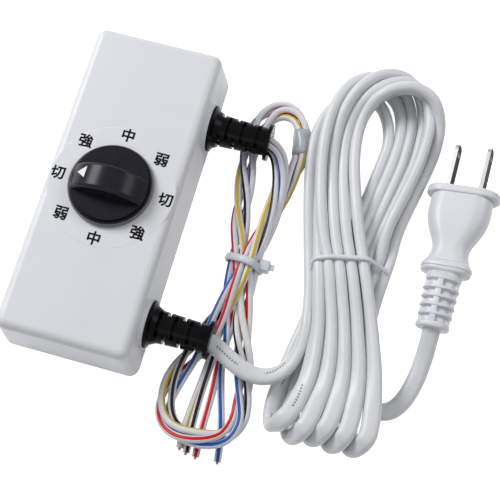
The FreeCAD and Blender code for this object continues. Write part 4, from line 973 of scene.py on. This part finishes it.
def tie_head():
    """The locking head of the fan lead's tie: a rounded block and the cut tail beside it."""
    blocks = []
    for size, shift, soften in HEAD_BLOCKS:
        block = bmesh.new()
        bmesh.ops.create_cube(block, size=1.0)
        bmesh.ops.scale(block, vec=Vector(size) * MM, verts=block.verts)
        bmesh.ops.bevel(
            block, geom=block.edges[:], offset=soften * MM, segments=3, profile=0.5, affect="EDGES"
        )
        place = Vector(HEAD_PLACE) * MM + Vector(shift) * MM
        bmesh.ops.translate(block, vec=place, verts=block.verts)
        blocks.append(mesh_of(block, "tie part"))
    head_mesh = mesh_of(joined(blocks), "fan_tie_head")
    set_on_housing(finished("fan_tie_head", head_mesh, FINISHES["tie_grey"]))


# The fan lead: four wires twisted together.
# Places are (x, y, z, height share, loosening) in millimetres: the last two flatten and open
# the bundle.

BUNDLE = (
    (49, 37.3, 11.5, 1, 0), (53, 36.0, 11.0, 1, 0), (56.5, 32, 9.0, 1, 0), (58.6, 25, 6.5, 1, 0),
    (59, 16, 5.6, 1, 0), (58, 5, 6, 1, 0), (56.4, -6, 6.2, .8, 0), (55, -14, 6, .8, 0),
    (53, -23, 5.4, .8, 0), (51, -32, 4, .7, .2), (48, -42, 3, .6, .5), (45, -50, 2.8, .6, .6),
    (41, -60, 2.8, .6, .6), (40, -69, 2.8, .6, .6), (42, -76, 3.2, .7, .5), (47, -80, 5, .8, .3),
    (54, -81, 6.6, .8, .3), (61, -80, 6.6, .8, .4), (66, -77, 4.4, .7, .6), (69, -70, 3.2, .6, .6),
    (68, -62, 2.8, .6, .6), (66, -53, 2.8, .6, .6), (63, -44, 2.8, .6, .5), (60, -35, 2.8, .6, .3),
    (58, -25, 2.8, .6, .2), (57, -16, 3.0, .6, .1), (57, -8, 3.0, .6, 0), (58, 1, 3.0, .7, 0),
    (59, 10, 3.0, .6, 0), (60.8, 21, 3.0, .7, 0), (62.6, 31, 3.3, 1, 0), (63.8, 38, 3.4, 1, 0),
    (62.2, 46, 3.4, 1, 0), (59, 52.6, 3.2, .8, 0), (54, 55.6, 2.8, .6, .2), (49, 54.6, 2.8, .6, .3),
    (45, 49.6, 2.6, .5, .4), (43, 43, 2.4, .5, .3), (43, 35, 2.4, .5, .2), (44, 27, 2.6, .6, .3),
    (46, 16, 2.8, .6, .3), (47.6, 6, 2.8, .6, .2), (50, -4, 2.9, .6, 0), (51.6, -13, 2.9, .6, 0),
    (52, -22, 2.6, .5, .1), (53, -31, 2.2, .4, .2), (54, -41, 2.0, .35, .4), (54, -51, 1.9, .3, .7),
    (54, -61, 1.8, .2, 1.0), (54, -70, 1.7, .2, 1.0), (54, -79, 1.7, .2, 1.0),
    (54.6, -86, 1.7, .2, 1.0),
)

# The first places lie in the gland and aren't set back.
IN_GLAND = 2

# The wires in order round the bundle: each cut end's shift in millimetres, and the solids that
# the wire stands for.
WIRES = (
    ("white", (-4.3, 0.8), ("fan_wire_white", "fan_lead_out")),
    ("black", (-1.5, -0.3), ("fan_wire_black", "fan_lead_hank")),
    ("blue", (10.6, -0.4), ("fan_wire_blue",)),
    ("red", (2.3, -0.8), ("fan_wire_red",)),
)

WIRE = 2.8 * MM
WIRE_STEPS = 12
WIRE_SIDES = 12
WIRE_CLEAR = 0.05 * MM

# The length of one turn of the twist, how far below level it leaves the first wire in quarter
# turns, and the stretch before the cut ends where the wires part.
LAY_OF_TWIST = 74.0 * MM
TWIST_BELOW = 0.25
FAN_OUT = 40.0 * MM

# How far the wires stand apart where the bundle is loose or flat, and how they wander there.
LOOSE_SPREAD = 0.55
FLAT_SPREAD = 0.35
WANDER = 0.9 * MM
WANDER_WAVE = 17.0 * MM
WANDER_STEP = 1.7


def level_way(line):
    """The level direction to the right of a line at each of its points."""
    ahead = unit(np.gradient(line, axis=0))
    return unit(np.stack((ahead[:, 1], -ahead[:, 0], np.zeros(len(line))), axis=1))


def make_fan_wires():
    """Four wires that turn about the bundle's line and part near their cut ends."""
    places = [
        (x, y + (SET_BACK if number >= IN_GLAND else 0.0), z)
        for number, (x, y, z, _, _) in enumerate(BUNDLE)
    ]
    line = smooth_line("fan lead line", places, WIRE_STEPS)
    height = carried([place[3] for place in BUNDLE], len(line))
    loose = carried([place[4] for place in BUNDLE], len(line))
    level = level_way(line)
    above = np.cross(level, unit(np.gradient(line, axis=0)))
    along = distance_along(line)
    fan_start = along[-1] - FAN_OUT
    part = np.clip((along - fan_start) / FAN_OUT, 0.0, 1.0)
    part = part * part * (3.0 - 2.0 * part)
    twisted = np.minimum(along, fan_start) - fan_start
    reach = WIRE / math.sqrt(2.0)
    spread = 1.0 + LOOSE_SPREAD * loose + FLAT_SPREAD * (1.0 - height)
    wires = []
    tips = []
    for number, (name, (end_x, end_y), stands_for) in enumerate(WIRES):
        turn = 2.0 * math.pi * twisted / LAY_OF_TWIST + (number - TWIST_BELOW) * math.pi / 2.0
        side = reach * np.cos(turn) * spread
        lift = reach * np.sin(turn) * height
        wander = WANDER * loose * np.sin(along / WANDER_WAVE + number * WANDER_STEP)
        path = line + (side + wander)[:, None] * level + lift[:, None] * above
        free = line + np.array((end_x, end_y, 0.0)) * MM
        path = path * (1.0 - part)[:, None] + free * part[:, None]
        path[:, 2] = np.maximum(path[:, 2], WIRE / 2.0 + WIRE_CLEAR)
        path = lifted_over(path, FAN_TIE_Y, FAN_RISE)
        section = round_section(WIRE / 2.0, WIRE_SIDES)
        wire = sweep("fan_wire_" + name + "_insulation", path, level_way(path), section, TRACERS[name])
        set_on_housing(wire)
        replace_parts(wire, *stands_for)
        wires.append(wire)
        tips.append((path[-1], unit(path[-1] - path[-4])))
    tie = wrapped_band("fan_tie_band", wires, "tie_grey", *FAN_TIE)
    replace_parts(tie, "fan_lead_tie")
    tie_head()
    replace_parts(shrunk_sleeve(wires), "lead_sleeve")
    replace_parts(bare_ends(tips), "wire_ends")


# The short sleeve on the fan lead: its middle in millimetres, its way, its rows of points.

SLEEVE_MIDDLE = (62.5, 43.6, 0.0)
SLEEVE_WAY = (-0.25, 0.97, 0.0)
SLEEVE_ROWS = 9
SLEEVE_POINTS = 48
SLEEVE_HALF = 5.3 * MM

# How far sideways, up and along each row looks for the wires; how far from them the film's inside
# and outside lie; how much the outside swells at its middle; and its lowest height.
SLEEVE_SIDEWAYS = 6.0 * MM
SLEEVE_UP = 12.0 * MM
SLEEVE_ALONG = 1.1 * MM
SLEEVE_INSIDE = 0.05 * MM
SLEEVE_OUTSIDE = 0.20 * MM
SLEEVE_CROWN = 0.55 * MM
SLEEVE_LOWEST = 0.03 * MM


def shrunk_sleeve(wires):
    """A thin film drawn tight round the four wires, its ends drawn in."""
    centre = np.array(SLEEVE_MIDDLE) * MM
    ahead = unit(np.array(SLEEVE_WAY))
    across = np.cross(ahead, UP_WAY)
    points = np.concatenate([[v.co for v in wire.data.vertices] for wire in wires]) - centre
    near = points[(np.abs(points @ across) < SLEEVE_SIDEWAYS) & (points[:, 2] < SLEEVE_UP)]
    outer = []
    inner = []
    for way in np.linspace(-1.0, 1.0, SLEEVE_ROWS):
        here = near[np.abs(near @ ahead - way * SLEEVE_HALF) < SLEEVE_ALONG]
        loop = tight_loop(zip(here @ across, here[:, 2]), SLEEVE_POINTS)
        middle = (loop.max(0) + loop.min(0)) / 2.0
        turns = np.arctan2(loop[:, 1] - middle[1], loop[:, 0] - middle[0])
        loop = np.roll(loop, -int(np.argmin(turns)), axis=0)
        out = unit(loop - middle)
        crown = SLEEVE_CROWN * math.sqrt(max(0.0, 1.0 - way * way)) + SLEEVE_OUTSIDE
        for sheet, off in ((outer, crown), (inner, SLEEVE_INSIDE)):
            ring = loop + out * off
            height = np.maximum(ring[:, 1:], SLEEVE_LOWEST) * UP_WAY
            sheet.append(centre + ring[:, :1] * across + height + ahead * way * SLEEVE_HALF)
    mesh = ringed_mesh("lead_sleeve_film", outer + inner[::-1], closed=True)
    return set_on_housing(finished("lead_sleeve_film", mesh, SLEEVE_FILM))


# The bare copper ends: rods set on a small disc of points, seven to a wire.

STRAND_RING = 0.38 * MM
STRAND_RADIUS = 0.17 * MM
STRAND_LENGTH = 1.8 * MM
STRAND_FROM_CUT = 0.1 * MM
STRAND_LEAN = 0.09
STRAND_TURN = 3.0
STRAND_SEED = 3


def strand_tree():
    """Seven rods, six round one, each leaning and turned a little its own way."""
    wanted = (
        ("Ring radius", "Float"), ("Strand radius", "Float"), ("Length", "Float"), ("Seed", "Int"),
        ("Finish", "Material"),
    )
    tree, inputs = tree_with("copper strands", wanted, takes_mesh=False)
    new, link = tree.nodes.new, tree.links.new
    given = new("NodeGroupInput")
    ring = new("GeometryNodeMeshCircle")
    ring.inputs["Vertices"].default_value = 6
    link(given.outputs["Ring radius"], ring.inputs["Radius"])
    middle = new("GeometryNodeMeshLine")
    middle.inputs["Count"].default_value = 1
    spots = new("GeometryNodeJoinGeometry")
    link(ring.outputs["Mesh"], spots.inputs["Geometry"])
    link(middle.outputs["Mesh"], spots.inputs["Geometry"])
    rod = new("GeometryNodeMeshCylinder")
    rod.inputs["Vertices"].default_value = 8
    link(given.outputs["Strand radius"], rod.inputs["Radius"])
    link(given.outputs["Length"], rod.inputs["Depth"])
    lean = new("FunctionNodeRandomValue")
    lean.data_type = "FLOAT_VECTOR"
    lean.inputs["Min"].default_value = (-STRAND_LEAN, -STRAND_LEAN, 0.0)
    lean.inputs["Max"].default_value = (STRAND_LEAN, STRAND_LEAN, STRAND_TURN)
    link(given.outputs["Seed"], lean.inputs["Seed"])
    laid = new("GeometryNodeInstanceOnPoints")
    link(spots.outputs["Geometry"], laid.inputs["Points"])
    link(rod.outputs["Mesh"], laid.inputs["Instance"])
    link(lean.outputs["Value"], laid.inputs["Rotation"])
    end_tree(tree, given, laid)
    return tree, inputs


def bare_ends(tips):
    """The bare copper at the four cut ends, as one mesh."""
    tree, inputs = strand_tree()
    ends = []
    for number, (place, way) in enumerate(tips):
        strands = made_by(tree, inputs, bpy.data.meshes.new("strands"), {
            "Ring radius": STRAND_RING, "Strand radius": STRAND_RADIUS, "Length": STRAND_LENGTH,
            "Seed": STRAND_SEED + number, "Finish": FINISHES["copper"],
        })
        turn = Vector(way).to_track_quat("Z", "Y").to_matrix().to_4x4()
        out = Vector(place) + Vector(way) * STRAND_FROM_CUT
        strands.transform(Matrix.Translation(out) @ turn)
        ends.append(strands)
    ends_mesh = mesh_of(joined(ends), "copper_strands")
    return set_on_housing(finished("copper_strands", ends_mesh, FINISHES["copper"]))


# Printed labels: off, high, medium and low, twice round the dial.

LABELS = (
    ("切", 180), ("強", 135), ("中", 90), ("弱", 45),
    ("切", 0), ("強", -45), ("中", -90), ("弱", -135),
)
PRINT_CENTRE = Vector((0.0, -0.5, 0.0)) * MM
DIAL_PAD_TOP = 25.04 * MM
LABEL_RADIUS = 21.3 * MM
LABEL_SIZE = 5.6 * MM
LABEL_STROKE = 0.17 * MM
LABEL_DEPTH = 0.01 * MM
LABEL_LIFT = 0.03 * MM
PRINT_FLATNESS = 0.06


def label_mesh(word, degrees):
    """One word, laid flat at its place round the dial."""
    text = bpy.data.curves.new("label", "FONT")
    text.body = word
    text.size = LABEL_SIZE
    text.align_x = text.align_y = "CENTER"
    text.extrude = LABEL_DEPTH
    text.bevel_depth = LABEL_STROKE
    text.bevel_resolution = 0
    mesh = plain_mesh(shown("label", text))
    points = np.array([v.co for v in mesh.vertices])
    middle = (points.min(0) + points.max(0)) / 2.0
    angle = math.radians(degrees)
    place = Vector((
        LABEL_RADIUS * math.cos(angle), LABEL_RADIUS * math.sin(angle), DIAL_PAD_TOP + LABEL_LIFT,
    ))
    shift = Matrix.Translation(place + PRINT_CENTRE - Vector((middle[0], middle[1], 0.0)))
    mesh.transform(shift @ Matrix.Diagonal((1.0, 1.0, PRINT_FLATNESS, 1.0)))
    return mesh


def print_labels():
    """The speed words round the dial, as one flat print on the cover."""
    print_mesh = mesh_of(joined([label_mesh(*label) for label in LABELS]), "speed labels")
    print_mesh.materials.append(FINISHES["print_black"])
    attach(shown("speed_labels", print_mesh), "housing")


bpy.context.scene.view_settings.view_transform = "Standard"
place_camera()
light_surround()
for softbox in SOFTBOXES:
    hang_softbox(*softbox)
lay_sweep()
dress_cad_nodes()
make_mains_flex()
make_fan_wires()
print_labels()
